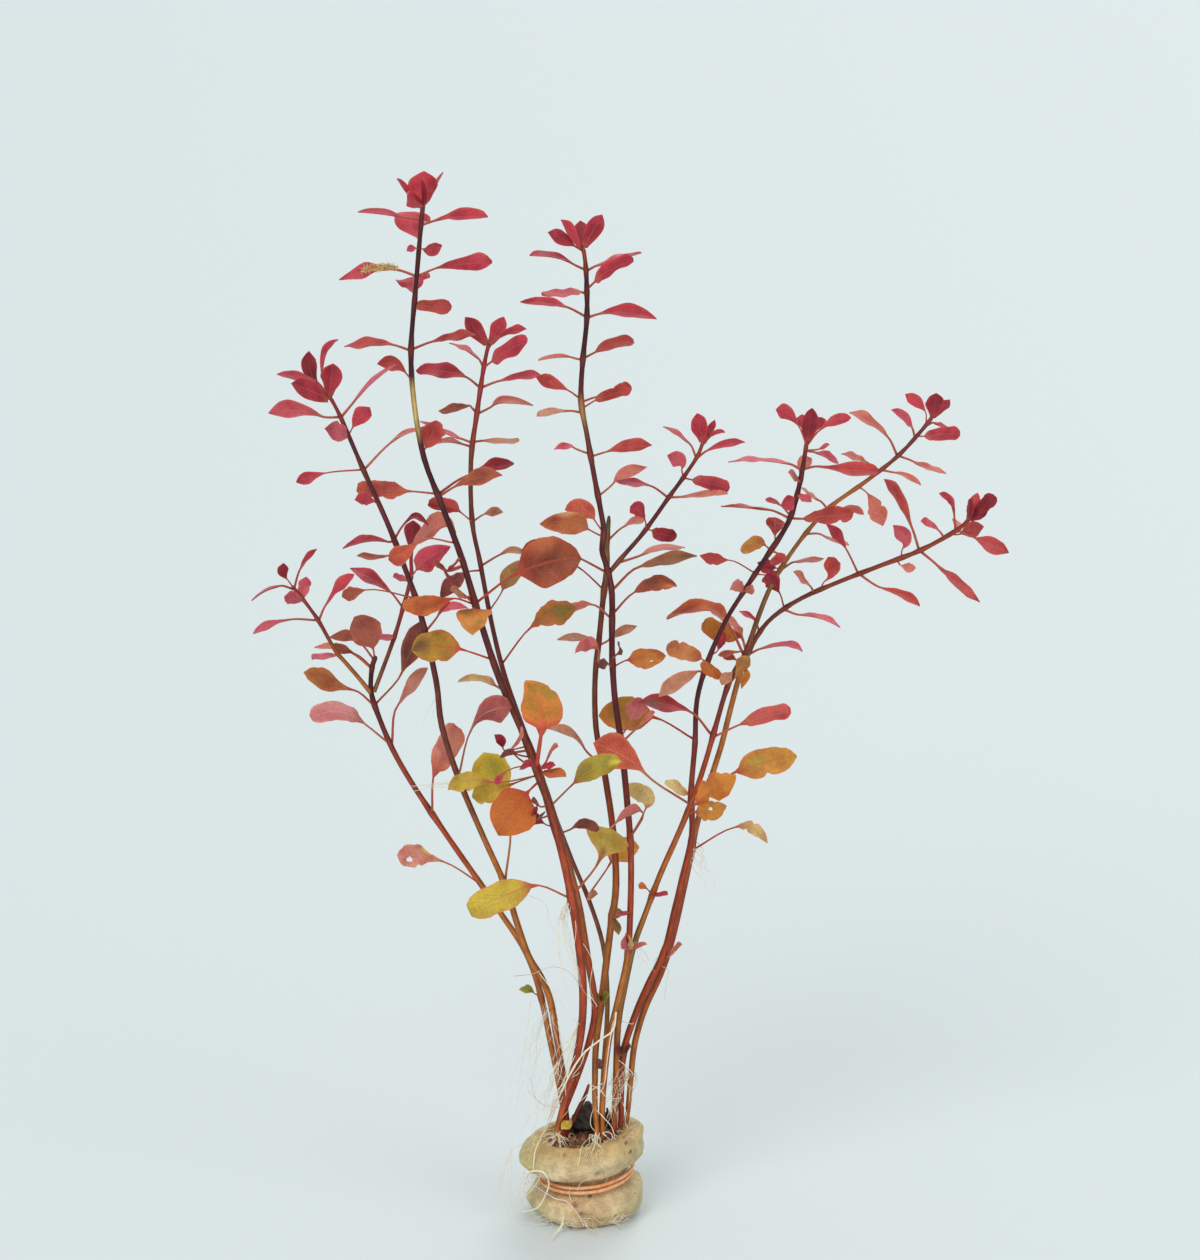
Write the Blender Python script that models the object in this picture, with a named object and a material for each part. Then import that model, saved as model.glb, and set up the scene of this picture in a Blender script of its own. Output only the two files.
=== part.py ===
"""A bunch of Ludwigia repens, held in a foam plug by a rubber band wound twice round it.

Metres, +Z up. The origin is the centre of the plug's underside, on the surface it stands on.
The front of the bunch faces -Y. Stems and leaves are drawn as they are seen from the front:
a sighting is a point (column, row) of a picture 1200 wide and 1260 high, and its depth, in
millimetres along +Y, puts it in space.
"""
from collections import namedtuple
from math import acos, atan, cos, pi, radians, sin, sqrt, tan

import bmesh
import bpy
from mathutils import Vector

MM = 0.001

# Driving dimensions
VIEW_DISTANCE = 0.817
VIEW_PITCH = radians(17.9)
FOCAL_PIXELS = 3351.0
PICTURE_CENTRE = (600.0, 630.0)
FOOT_SIGHTING = (585.0, 1208.0)
PIXEL = VIEW_DISTANCE / FOCAL_PIXELS
GAP = 0.3 * MM

PLUG_FLOOR_HEIGHT = 18.5 * MM
WAIST_HALF_WIDTH = 9.9 * MM
WAIST_HALF_DEPTH = 9.3 * MM
WAIST_HEIGHT = 10.2 * MM
WAIST_SHIFT = 0.5 * MM
WAIST_SLOPE = 0.11
MOUTH_CENTRE = (1.6 * MM, -0.3 * MM)
BAND_THICKNESS = 0.9 * MM

LEAF_THICKNESS = 0.55 * MM
PETIOLE_WIDTH = 0.85 * MM
LEAF_PROPORTION = 0.42
LEAF_REACH = 1.7
SHORT_BLADE = 8.0 * MM
LONG_BLADE = 15.0 * MM
ROOT_THICKNESS = 0.6 * MM

TONES = {
    "crimson": (0.42, 0.03, 0.05),
    "maroon": (0.16, 0.02, 0.03),
    "pink": (0.58, 0.12, 0.14),
    "red": (0.48, 0.07, 0.04),
    "brown": (0.30, 0.08, 0.03),
    "salmon": (0.55, 0.15, 0.09),
    "orange": (0.58, 0.20, 0.03),
    "gold": (0.60, 0.32, 0.03),
    "yellow": (0.58, 0.45, 0.06),
    "olive": (0.34, 0.22, 0.03),
    "tan": (0.60, 0.36, 0.14),
    "green": (0.38, 0.45, 0.06),
    "rust": (0.50, 0.12, 0.04),
    "umber": (0.14, 0.05, 0.03),
    "straw": (0.68, 0.50, 0.18),
}

Leaf = namedtuple("Leaf", "base neck middle tip seen near tone name", defaults=("",))
Shoot = namedtuple("Shoot", "name path depths widths rooted parent leaves")


def blade(base, neck, middle, tip, seen, near, tone, name=""):
    """A leaf from its base on the stem, through the petiole's end and the blade's middle, to its tip.

    seen is its width in the picture in pixels, near how far its tip comes forward, as a share of
    the leaves' usual reach from front to back.
    """
    return Leaf(base, neck, middle, tip, seen, near, tone, name)


def sprig(base, tip, seen, near, tone):
    """A small straight leaf of a shoot's crown."""
    neck = (base[0] * 0.8 + tip[0] * 0.2, base[1] * 0.8 + tip[1] * 0.2)
    middle = (base[0] * 0.4 + tip[0] * 0.6, base[1] * 0.4 + tip[1] * 0.6)
    return Leaf(base, neck, middle, tip, seen, near, tone, "")


SHOOTS = (
    Shoot(
        "tallest_stem",
        ((557, 1132), (568, 1090), (580, 1040), (583, 990), (577, 930), (566, 870), (551, 812),
         (528, 745), (500, 680), (480, 620), (463, 562), (443, 508), (424, 458), (414, 402),
         (411, 349), (416, 285), (421, 225), (424, 196)),
        ((1132, -4.0), (1090, -5.0), (1040, -7.0), (1000, -8.5), (800, -11.5), (600, -14.0),
         (400, -15.0), (196, -13.0)),
        (6, 7, 7.5, 8, 8.3, 8, 7.6, 7, 6.5, 6, 5.6, 5.3, 5, 4.8, 4.7, 4.2, 3.8, 3),
        True, "",
        (
            sprig((423, 204), (424, 171), 27, -1, "crimson"),
            sprig((421, 206), (396, 179), 6, 2, "crimson"),
            sprig((422, 206), (407, 195), 10, 5, "crimson"),
            sprig((425, 204), (441, 171), 4, -2, "crimson"),
            sprig((424, 205), (425, 178), 6, 4, "maroon"),
            blade((423, 224), (434, 220), (455, 217), (488, 218), 9, 2, "crimson"),
            blade((421, 218), (402, 216), (385, 213), (358, 210), 7, -2, "crimson"),
            blade((420, 245), (417, 236), (411, 224), (419, 212), 34, -5, "crimson"),
            blade((419, 249), (423, 249), (431, 250), (442, 245), 11, 4, "crimson"),
            blade((416, 275), (398, 269), (372, 269), (338, 278), 8, -2, "crimson"),
            blade((419, 276), (440, 267), (462, 264), (492, 262), 18, 2, "crimson"),
            blade((415, 299), (414, 292), (413, 284), (414, 275), 34, -5, "crimson"),
            blade((414, 305), (417, 305), (432, 306), (450, 307), 13, 3, "red"),
            blade((409, 350), (392, 344), (370, 343), (344, 346), 12, -3, "red"),
            blade((414, 349), (432, 341), (452, 337), (475, 333), 9, 2, "red"),
            blade((411, 381), (406, 373), (394, 364), (378, 364), 13, 3, "red"),
            blade((425, 452), (426, 447), (431, 436), (436, 420), 24, -4, "red"),
            blade((434, 495), (407, 491), (384, 490), (357, 487), 18, -1, "rust", "leaf_slit_red"),
            blade((439, 496), (455, 486), (476, 478), (501, 473), 15, 3, "salmon", "leaf_bronze"),
            blade((441, 492), (465, 476), (490, 468), (514, 461), 11, -5, "maroon"),
            blade((456, 543), (420, 541), (404, 552), (389, 560), 20, 5, "salmon", "leaf_salmon"),
            blade((456, 541), (455, 530), (439, 526), (414, 545), 14, -6, "salmon"),
            blade((477, 603), (518, 573), (550, 562), (580, 558), 45, 4, "brown", "leaf_brown_broad"),
            blade((475, 606), (474, 609), (474, 620), (473, 637), 32, 8, "orange", "leaf_heart"),
            blade((473, 605), (450, 599), (425, 606), (403, 605), 18, 3, "orange", "leaf_orange_left"),
            blade((474, 603), (462, 592), (452, 582), (446, 570), 3, 2, "maroon"),
            blade((490, 661), (460, 649), (437, 646), (412, 650), 31, 3, "olive", "leaf_olive_left"),
            blade((499, 692), (494, 684), (478, 679), (458, 681), 8, -1, "straw"),
            blade((538, 768), (542, 727), (540, 702), (525, 677), 38, 4, "orange", "leaf_upright_orange"),
            blade((541, 780), (527, 793), (514, 810), (500, 834), 44, 7, "orange", "leaf_rust"),
            blade((534, 776), (515, 783), (495, 790), (472, 797), 22, 2, "yellow"),
            blade((534, 777), (490, 782), (468, 781), (448, 790), 20, 4, "yellow"),
            blade((537, 770), (533, 766), (527, 765), (520, 766), 14, 5, "crimson"),
            sprig((540, 767), (555, 765), 5, 3, "crimson"),
            sprig((541, 772), (565, 774), 7, 5, "orange"),
            blade((536, 768), (520, 761), (510, 750), (500, 738), 9, 2, "maroon"),
            blade((551, 828), (545, 824), (538, 820), (528, 814), 14, 4, "maroon"),
            blade((550, 807), (574, 783), (597, 767), (622, 762), 22, 3, "yellow", "leaf_yellow_green"),
            blade((560, 833), (572, 828), (585, 824), (598, 831), 9, 2, "umber"),
            blade((568, 899), (531, 886), (503, 896), (469, 911), 30, 4, "yellow", "leaf_low_left"),
            blade((577, 896), (600, 859), (606, 844), (612, 829), 45, -3, "yellow", "leaf_low_centre"),
        ),
    ),
    Shoot(
        "second_stem",
        ((562, 1120), (577, 1078), (590, 1038), (595, 1005), (588, 960), (578, 900), (563, 845),
         (547, 793), (520, 720), (503, 670), (491, 620), (480, 562), (472, 520), (471, 460),
         (477, 413), (484, 366), (489, 343)),
        ((1120, -1.2), (1078, -2.5), (1040, -4.0), (1000, -4.6), (900, -5.5), (768, -6.5),
         (600, -4.0), (400, 0.0), (343, 2.0)),
        (5.5, 6, 6.5, 6.8, 6.8, 6.5, 6, 5.6, 5, 4.6, 4.4, 4.2, 4.3, 4.6, 4.3, 3.8, 3),
        True, "",
        (
            sprig((488, 346), (465, 317), 15, 1, "crimson"),
            sprig((490, 345), (504, 317), 15, -2, "crimson"),
            blade((490, 347), (496, 338), (510, 332), (526, 328), 6, 2, "crimson"),
            blade((486, 367), (493, 360), (508, 350), (527, 342), 15, 5, "crimson"),
            blade((483, 366), (479, 358), (465, 349), (449, 344), 5, -3, "pink"),
            blade((479, 387), (465, 376), (440, 370), (415, 368), 14, -3, "crimson"),
            blade((483, 387), (500, 380), (520, 377), (541, 375), 8, 2, "pink"),
            blade((476, 412), (468, 405), (455, 409), (438, 410), 8, -4, "brown"),
            blade((479, 413), (492, 405), (505, 402), (533, 406), 4, -3, "salmon"),
            blade((475, 441), (486, 440), (503, 442), (519, 442), 5, 2, "tan"),
            blade((473, 442), (462, 438), (446, 432), (421, 420), 4, 1, "pink"),
            blade((473, 446), (462, 443), (445, 441), (428, 446), 4, -4, "salmon"),
            blade((475, 521), (484, 514), (492, 512), (503, 512), 8, 3, "tan"),
            blade((472, 522), (459, 511), (448, 506), (429, 504), 15, 4, "red"),
            blade((482, 565), (500, 554), (515, 551), (530, 557), 8, -2, "tan"),
            blade((481, 570), (465, 573), (453, 583), (441, 597), 14, 5, "umber"),
            blade((490, 611), (503, 589), (511, 575), (527, 560), 18, 3, "olive", "leaf_tan_olive"),
            blade((503, 664), (531, 627), (551, 614), (578, 607), 26, 3, "olive", "leaf_olive_orange"),
        ),
    ),
    Shoot(
        "left_stem",
        ((566, 1112), (564, 1080), (557, 1040), (551, 1003), (541, 977), (528, 955), (516, 920),
         (505, 885), (483, 836), (460, 782), (442, 727), (436, 680), (420, 612), (403, 563),
         (387, 522), (363, 469), (341, 418), (330, 397)),
        ((1112, 1.5), (1000, -1.0), (950, -3.0), (800, -10.0), (600, -16.0), (397, -20.0)),
        (5.5, 6, 6.5, 6.8, 6.8, 6.6, 6.3, 6, 5.8, 5.8, 5.7, 5.6, 5.2, 5, 4.8, 4.2, 3.6, 3),
        True, "",
        (
            blade((329, 398), (319, 386), (310, 370), (309, 351), 15, -2, "maroon"),
            blade((330, 399), (313, 379), (296, 376), (277, 375), 9, 1, "crimson"),
            blade((330, 398), (321, 372), (326, 351), (338, 339), 7, -4, "crimson"),
            sprig((329, 397), (333, 362), 19, 3, "crimson"),
            sprig((330, 399), (294, 383), 12, 6, "crimson"),
            blade((339, 417), (322, 416), (295, 410), (268, 412), 14, 1, "pink"),
            blade((341, 416), (354, 400), (372, 380), (394, 361), 7, 2, "pink"),
            blade((349, 435), (353, 427), (360, 417), (370, 406), 17, -4, "crimson"),
            sprig((349, 434), (328, 429), 9, 6, "pink"),
            blade((362, 470), (325, 473), (309, 477), (296, 482), 11, 2, "crimson"),
            blade((363, 469), (390, 442), (405, 433), (424, 428), 3, -5, "salmon"),
            blade((379, 504), (375, 502), (366, 499), (355, 500), 11, 4, "crimson"),
            blade((394, 540), (388, 541), (368, 540), (342, 547), 9, -2, "crimson"),
            blade((395, 538), (403, 524), (415, 517), (428, 525), 5, -3, "maroon"),
            blade((400, 557), (388, 555), (372, 557), (358, 554), 7, 3, "brown"),
            blade((416, 598), (365, 590), (352, 593), (342, 597), 14, 2, "brown"),
            blade((431, 630), (437, 616), (448, 607), (468, 606), 9, 2, "pink"),
            blade((460, 777), (472, 728), (487, 712), (511, 708), 27, 3, "pink", "leaf_mauve"),
            blade((507, 884), (508, 815), (497, 785), (484, 752), 40, 0, "yellow", "leaf_yellow_broad"),
        ),
    ),
    Shoot(
        "outer_left_stem",
        ((564, 1112), (558, 1078), (550, 1040), (543, 1005), (534, 972), (522, 945), (502, 915),
         (478, 880), (450, 840), (415, 788), (393, 750), (377, 712), (371, 690), (372, 668), (376, 656)),
        ((1112, 4.8), (1000, 3.0), (950, 1.0), (800, 2.0), (656, 6.0)),
        (5.5, 6, 6, 6, 6, 6, 5.8, 5.7, 5.6, 5.4, 5.2, 5.2, 4.8, 4.2, 3.5),
        True, "",
        (
            blade((376, 706), (354, 690), (330, 683), (306, 671), 19, 4, "orange", "leaf_far_left"),
            blade((377, 704), (402, 672), (411, 650), (424, 619), 22, -1, "umber", "leaf_dark_brown"),
            blade((375, 660), (373, 648), (366, 632), (354, 617), 30, -2, "brown"),
            blade((375, 660), (361, 643), (348, 637), (330, 638), 10, -3, "brown"),
            blade((371, 667), (356, 654), (345, 650), (331, 645), 10, -1, "brown"),
            blade((386, 746), (358, 719), (335, 711), (311, 718), 18, 4, "pink", "leaf_pale_pink"),
            blade((391, 745), (398, 704), (410, 690), (428, 668), 13, -2, "salmon", "leaf_pink_brown"),
            blade((434, 813), (436, 769), (446, 748), (459, 725), 23, 5, "salmon", "leaf_over_stem"),
            blade((475, 888), (444, 862), (420, 856), (397, 855), 26, 3, "pink", "leaf_holed"),
            blade((538, 997), (534, 993), (528, 989), (520, 990), 9, 3, "green"),
        ),
    ),
    Shoot(
        "outer_left_branch",
        ((371, 693), (358, 677), (345, 662), (335, 650), (318, 620), (302, 598), (292, 586)),
        ((693, 5.0), (586, -2.0)),
        (4.6, 4.2, 4, 3.8, 3.6, 3.2, 2.6),
        False, "outer_left_stem",
        (
            blade((293, 588), (287, 579), (283, 572), (283, 562), 11, 1, "maroon"),
            blade((293, 588), (300, 568), (307, 558), (316, 548), 6, -2, "crimson"),
            blade((293, 589), (280, 585), (265, 590), (251, 600), 4, 3, "pink"),
            sprig((302, 599), (306, 576), 13, -2, "pink"),
            sprig((302, 600), (285, 597), 14, 3, "pink"),
            blade((316, 621), (290, 619), (270, 624), (252, 632), 11, 1, "pink"),
            blade((320, 619), (325, 605), (338, 589), (354, 574), 11, -2, "crimson"),
            sprig((336, 654), (312, 658), 5, 5, "pink"),
        ),
    ),
    Shoot(
        "inner_left_branch",
        ((374, 692), (388, 655), (396, 632), (403, 608), (411, 577), (411, 560), (412, 545)),
        ((692, 5.0), (577, 14.0), (545, 16.0)),
        (4.4, 4, 4, 4, 3.8, 3.5, 2.8),
        False, "outer_left_stem",
        (
            sprig((394, 636), (379, 639), 5, 3, "pink"),
            blade((403, 607), (390, 591), (372, 579), (350, 568), 14, -2, "crimson"),
            blade((411, 577), (418, 568), (430, 557), (451, 546), 22, 2, "crimson"),
            sprig((412, 549), (413, 521), 17, 2, "maroon"),
        ),
    ),
    Shoot(
        "thin_stem",
        ((601, 1116), (604, 1060), (607, 1020), (607, 985), (603, 945), (590, 903), (572, 860),
         (556, 818), (538, 772)),
        ((1116, 3.5), (1060, 4.0), (985, 5.0), (925, 4.5), (860, 3.0), (772, 2.0)),
        (4.4, 4.5, 4.8, 4.8, 4.6, 4.4, 4.2, 4, 3.2),
        True, "",
        (
            blade((589, 896), (611, 862), (622, 850), (640, 846), 26, -4, "gold", "leaf_behind_centre"),
            sprig((586, 898), (596, 893), 5, 3, "tan"),
        ),
    ),
    Shoot(
        "cut_stem",
        ((597, 1133), (595, 1105), (595, 1075), (596, 1045), (601, 1005), (606, 965), (611, 925),
         (616, 885), (613, 830), (604, 770), (596, 728), (595, 680), (599, 640), (603, 600),
         (607, 565), (607, 545), (609, 516)),
        ((1133, -5.2), (1080, -2.8), (1040, 0.0), (1000, 0.5), (965, 1.0), (800, 3.0), (600, 4.5),
         (516, 4.5)),
        (5, 5.5, 6, 6.5, 7, 7, 7, 7, 6.6, 6, 5.6, 5.3, 5.4, 5.4, 5.4, 4.8, 4),
        True, "",
        (
            sprig((613, 917), (619, 934), 6, 3, "olive"),
            blade((603, 590), (578, 567), (560, 563), (530, 570), 24, -2, "brown"),
            blade((607, 540), (622, 527), (632, 522), (645, 517), 6, -3, "salmon"),
            blade((600, 645), (593, 638), (577, 638), (557, 640), 6, 1, "tan"),
            blade((599, 664), (597, 648), (588, 645), (575, 652), 18, 4, "pink"),
            blade((600, 645), (608, 640), (620, 633), (637, 626), 8, -3, "tan"),
            blade((601, 765), (585, 748), (572, 735), (548, 727), 9, 1, "tan"),
        ),
    ),
    Shoot(
        "centre_stem",
        ((602, 1133), (603, 1095), (609, 1040), (618, 1000), (627, 960), (630, 920), (631, 855),
         (627, 800), (621, 742), (615, 700), (612, 650), (612, 595), (607, 568), (602, 550),
         (604, 532), (601, 512), (594, 475), (587, 435), (581, 400), (583, 358), (587, 316),
         (586, 270), (583, 247)),
        ((1133, -3.7), (1080, -3.5), (1000, -3.2), (945, -3.0), (800, -1.0), (740, 0.0),
         (573, 0.5), (540, 0.0), (475, -2.0), (350, -5.0), (247, -8.0)),
        (5.5, 5.8, 5.8, 6.2, 6.3, 5.9, 6, 6.3, 6.2, 6, 5.7, 5.5, 5.5, 5.3, 5.2, 5.1, 4.9, 4.8, 4.8,
         4.7, 4.5, 4, 3),
        True, "",
        (
            sprig((582, 249), (560, 220), 10, 2, "crimson"),
            sprig((582, 249), (580, 220), 15, -2, "maroon"),
            sprig((583, 249), (602, 215), 16, 1, "crimson"),
            blade((583, 251), (575, 246), (563, 239), (550, 232), 11, 4, "crimson"),
            blade((586, 269), (573, 263), (556, 256), (530, 252), 8, 2, "crimson"),
            blade((587, 270), (596, 265), (616, 259), (641, 251), 6, -4, "pink"),
            blade((587, 289), (596, 280), (612, 268), (632, 259), 13, 3, "crimson"),
            blade((587, 293), (579, 291), (562, 293), (543, 293), 8, 4, "crimson"),
            blade((586, 316), (566, 306), (548, 303), (520, 300), 7, -2, "crimson"),
            blade((588, 317), (600, 313), (625, 312), (657, 316), 13, 1, "crimson"),
            blade((583, 359), (570, 356), (560, 356), (538, 360), 3, 1, "salmon"),
            blade((584, 358), (598, 350), (615, 343), (634, 341), 10, -2, "red"),
            blade((581, 399), (568, 390), (552, 383), (537, 377), 12, 2, "red"),
            blade((582, 412), (570, 410), (555, 411), (537, 414), 5, 4, "tan"),
            blade((582, 401), (597, 396), (608, 394), (620, 392), 4, -5, "pink"),
            blade((583, 408), (598, 399), (615, 393), (632, 388), 14, 2, "red"),
            blade((588, 454), (574, 447), (567, 446), (554, 450), 5, 3, "pink"),
            blade((592, 456), (608, 451), (628, 447), (652, 446), 15, 1, "red"),
            blade((599, 496), (614, 482), (625, 474), (647, 468), 12, -3, "salmon"),
            blade((602, 533), (594, 519), (583, 509), (565, 510), 18, 1, "red"),
            blade((602, 537), (588, 529), (568, 522), (541, 525), 23, 5, "orange"),
            blade((605, 573), (578, 557), (552, 549), (522, 548), 18, 1, "brown"),
            blade((611, 590), (640, 566), (662, 562), (697, 556), 14, 3, "olive", "leaf_olive_right"),
            blade((612, 614), (634, 592), (655, 584), (677, 584), 14, 2, "brown", "leaf_bronze_right"),
            blade((612, 618), (592, 604), (580, 606), (562, 614), 8, 2, "salmon"),
            blade((613, 667), (628, 660), (645, 658), (665, 657), 20, 2, "orange", "leaf_orange_right"),
            blade((619, 738), (631, 720), (635, 710), (641, 698), 20, 0.5, "pink"),
            blade((621, 742), (638, 726), (646, 719), (655, 712), 4, 3, "salmon"),
            blade((631, 838), (646, 808), (644, 795), (622, 786), 18, -3, "straw", "leaf_pale_yellow"),
            blade((631, 837), (640, 810), (627, 812), (609, 826), 17, 5, "pink"),
            sprig((629, 949), (622, 936), 7, 4, "pink"),
        ),
    ),
    Shoot(
        "centre_branch",
        ((609, 573), (625, 554), (640, 537), (655, 517), (669, 497), (683, 478), (697, 457), (703, 442)),
        ((573, 0.5), (540, 2.0), (442, 6.0)),
        (4.4, 4.2, 4.1, 4, 3.8, 3.8, 3.3, 2.6),
        False, "centre_stem",
        (
            sprig((703, 444), (697, 413), 16, 1, "crimson"),
            sprig((704, 444), (715, 420), 6, -2, "crimson"),
            blade((704, 445), (710, 436), (716, 433), (725, 432), 4, 3, "crimson"),
            blade((697, 457), (690, 443), (676, 433), (663, 427), 6, -2, "pink"),
            blade((697, 457), (707, 450), (724, 445), (745, 443), 9, 1, "crimson"),
            blade((684, 478), (682, 468), (680, 461), (666, 455), 16, -3, "pink"),
            blade((684, 478), (694, 480), (712, 484), (729, 489), 13, 2, "crimson"),
            blade((669, 497), (650, 485), (635, 482), (615, 479), 8, 1, "pink"),
            blade((671, 497), (680, 496), (702, 494), (727, 491), 4, 4, "salmon"),
            blade((646, 529), (645, 520), (640, 512), (630, 506), 16, 1, "crimson"),
            blade((647, 530), (653, 531), (664, 535), (677, 536), 13, 3, "maroon"),
            blade((619, 562), (642, 554), (660, 549), (685, 548), 8, -6, "salmon"),
        ),
    ),
    Shoot(
        "crossing_stem",
        ((614, 1126), (616, 1080), (618, 1025), (625, 985), (634, 945), (646, 912), (660, 875),
         (680, 830), (695, 793), (706, 760), (716, 725), (727, 688), (737, 668), (745, 655),
         (759, 615), (771, 586), (785, 562), (806, 533), (830, 507), (865, 482), (899, 455),
         (927, 424), (934, 413)),
        ((1126, -2.2), (1080, -1.0), (1040, 0.2), (1000, 1.0), (945, 1.0), (811, 1.5), (700, 2.0),
         (650, 4.0), (600, 5.0), (560, 6.0), (500, 9.0), (413, 14.0)),
        (5.5, 6.3, 6.6, 6.5, 6, 5.7, 5.8, 5.7, 5.4, 5.2, 5, 4.8, 4.8, 4.8, 4.9, 4.6, 4.2, 4, 4, 3.9,
         3.6, 3.4, 2.8),
        True, "",
        (
            blade((652, 895), (647, 889), (643, 886), (638, 885), 6, 3, "orange"),
            sprig((652, 895), (668, 895), 4, 3, "crimson"),
            blade((690, 809), (696, 804), (713, 790), (736, 775), 27, 5, "gold", "leaf_ragged_gold"),
            blade((687, 815), (695, 812), (709, 811), (726, 806), 18, 6, "gold", "leaf_gold_lobe"),
            blade((713, 737), (746, 722), (768, 716), (791, 711), 15, 1, "red", "leaf_red_right"),
            blade((712, 735), (690, 711), (668, 705), (638, 703), 14, 3, "crimson", "leaf_dark_crimson"),
            blade((729, 686), (724, 677), (712, 672), (701, 664), 10, 3, "orange"),
            blade((729, 688), (733, 680), (741, 668), (747, 656), 14, 2, "olive"),
            blade((745, 655), (728, 622), (705, 608), (666, 616), 15, -1, "orange"),
            blade((746, 650), (741, 633), (730, 622), (712, 612), 8, -4, "salmon"),
            blade((746, 650), (738, 636), (722, 633), (704, 622), 18, -6, "gold"),
            blade((746, 652), (740, 651), (730, 653), (718, 655), 7, -1, "salmon"),
            blade((741, 664), (736, 660), (730, 657), (722, 656), 7, -3, "orange"),
            blade((782, 570), (776, 568), (768, 566), (757, 562), 14, 1, "maroon"),
            blade((782, 569), (795, 561), (808, 560), (824, 557), 4, -1, "salmon"),
            blade((806, 533), (822, 534), (836, 541), (849, 545), 6, 2, "salmon"),
            blade((828, 508), (820, 500), (811, 495), (801, 488), 4, 1, "tan"),
            blade((830, 508), (841, 509), (850, 508), (864, 514), 7, 2, "salmon"),
            blade((859, 487), (868, 494), (876, 508), (883, 526), 18, 3, "salmon"),
            blade((880, 470), (866, 461), (858, 458), (841, 454), 7, 2, "salmon"),
            blade((882, 470), (896, 472), (904, 475), (921, 485), 6, 2, "salmon"),
            blade((898, 455), (888, 436), (872, 424), (849, 413), 10, 1, "salmon"),
            blade((899, 455), (914, 461), (928, 468), (946, 474), 7, -1, "salmon"),
            blade((916, 437), (913, 428), (905, 419), (891, 410), 9, 3, "pink"),
            blade((917, 437), (926, 436), (942, 434), (960, 433), 13, 1, "crimson"),
            blade((926, 425), (925, 411), (917, 402), (905, 394), 12, -2, "crimson"),
            blade((927, 425), (934, 422), (943, 426), (954, 432), 4, -2, "crimson"),
            sprig((933, 418), (936, 392), 18, 1, "maroon"),
            sprig((933, 418), (950, 399), 8, -2, "crimson"),
        ),
    ),
    Shoot(
        "right_stem",
        ((621, 1120), (621, 1095), (624, 1050), (636, 1013), (649, 983), (664, 953), (673, 918),
         (682, 880), (692, 835), (691, 793), (695, 743), (697, 700), (708, 661), (725, 622),
         (744, 591), (765, 559), (788, 523), (799, 487), (804, 460), (807, 440)),
        ((1120, 0.8), (1075, 1.0), (1000, 2.0), (900, 4.0), (811, 5.5), (700, 4.0), (600, 0.0),
         (440, -6.0)),
        (5.5, 6.3, 6.5, 7, 7, 6.8, 6.8, 6.8, 6.2, 5.6, 5.1, 4.9, 4.8, 4.6, 4.5, 4.8, 4.8, 4.4, 3.8, 3),
        True, "",
        (
            blade((807, 445), (798, 425), (787, 413), (775, 409), 14, 2, "crimson"),
            sprig((807, 443), (812, 407), 16, 1, "maroon"),
            blade((807, 445), (803, 430), (802, 422), (802, 414), 10, -3, "crimson"),
            blade((807, 445), (815, 432), (820, 424), (822, 417), 10, -3, "crimson"),
            blade((807, 445), (819, 430), (833, 422), (851, 417), 9, 1, "crimson"),
            blade((806, 450), (816, 452), (825, 456), (838, 463), 6, -4, "pink"),
            blade((806, 450), (818, 449), (824, 447), (829, 444), 4, 3, "pink"),
            blade((803, 469), (790, 463), (760, 459), (728, 460), 7, 1, "pink"),
            blade((801, 480), (800, 472), (803, 464), (812, 458), 14, -3, "salmon"),
            blade((804, 469), (818, 466), (850, 470), (879, 472), 18, 3, "red"),
            blade((798, 497), (795, 498), (790, 502), (783, 505), 15, 4, "crimson"),
            sprig((798, 494), (811, 501), 5, 3, "pink"),
            blade((790, 517), (770, 509), (745, 506), (721, 504), 4, 2, "red"),
            blade((791, 515), (781, 505), (773, 501), (765, 499), 5, -2, "pink"),
            blade((791, 518), (806, 518), (830, 516), (853, 517), 13, 4, "red"),
            blade((776, 543), (775, 535), (775, 526), (775, 517), 19, -4, "red"),
            blade((771, 550), (765, 545), (755, 543), (742, 552), 13, 3, "gold"),
            blade((771, 550), (777, 553), (779, 559), (774, 566), 14, 4, "crimson"),
            blade((755, 574), (765, 575), (772, 578), (779, 586), 10, 3, "maroon"),
            blade((755, 573), (728, 560), (716, 559), (700, 556), 12, 1, "red"),
            sprig((744, 591), (732, 582), 14, 4, "salmon"),
            sprig((744, 590), (755, 590), 8, 3, "salmon"),
            blade((711, 655), (718, 650), (721, 643), (725, 632), 8, -3, "crimson"),
            blade((707, 663), (700, 658), (685, 652), (667, 648), 17, 1, "tan"),
            blade((704, 672), (698, 671), (681, 681), (659, 698), 16, 3, "tan", "leaf_tan"),
            blade((695, 740), (653, 717), (628, 714), (598, 716), 34, -2, "gold", "leaf_orange_oval"),
            blade((690, 805), (645, 773), (625, 757), (593, 743), 28, 11.5, "red", "leaf_red_orange"),
            blade((691, 796), (688, 794), (679, 788), (667, 782), 10, 3, "straw"),
        ),
    ),
    Shoot(
        "far_right_stem",
        ((627, 1118), (631, 1075), (635, 1042), (645, 1008), (661, 973), (672, 940), (682, 897),
         (690, 860), (698, 820), (712, 775), (722, 743), (731, 707), (742, 668), (756, 638),
         (773, 617), (802, 598), (841, 581), (882, 565), (921, 550), (957, 530), (970, 518)),
        ((1118, 2.5), (1070, 3.5), (1000, 5.5), (900, 8.0), (838, 10.0), (700, 8.5), (638, 8.2),
         (617, 7.4), (598, 4.5), (570, -3.0), (518, -12.0)),
        (5, 5.8, 6.3, 6.6, 6.6, 6.3, 6.1, 6, 5.9, 5.8, 5.6, 5.4, 5, 4.5, 4.3, 4.2, 4.2, 4.3, 4.2, 3.6, 3),
        True, "",
        (
            blade((691, 850), (735, 827), (752, 828), (769, 842), 15, 2, "straw", "leaf_low_right"),
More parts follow.
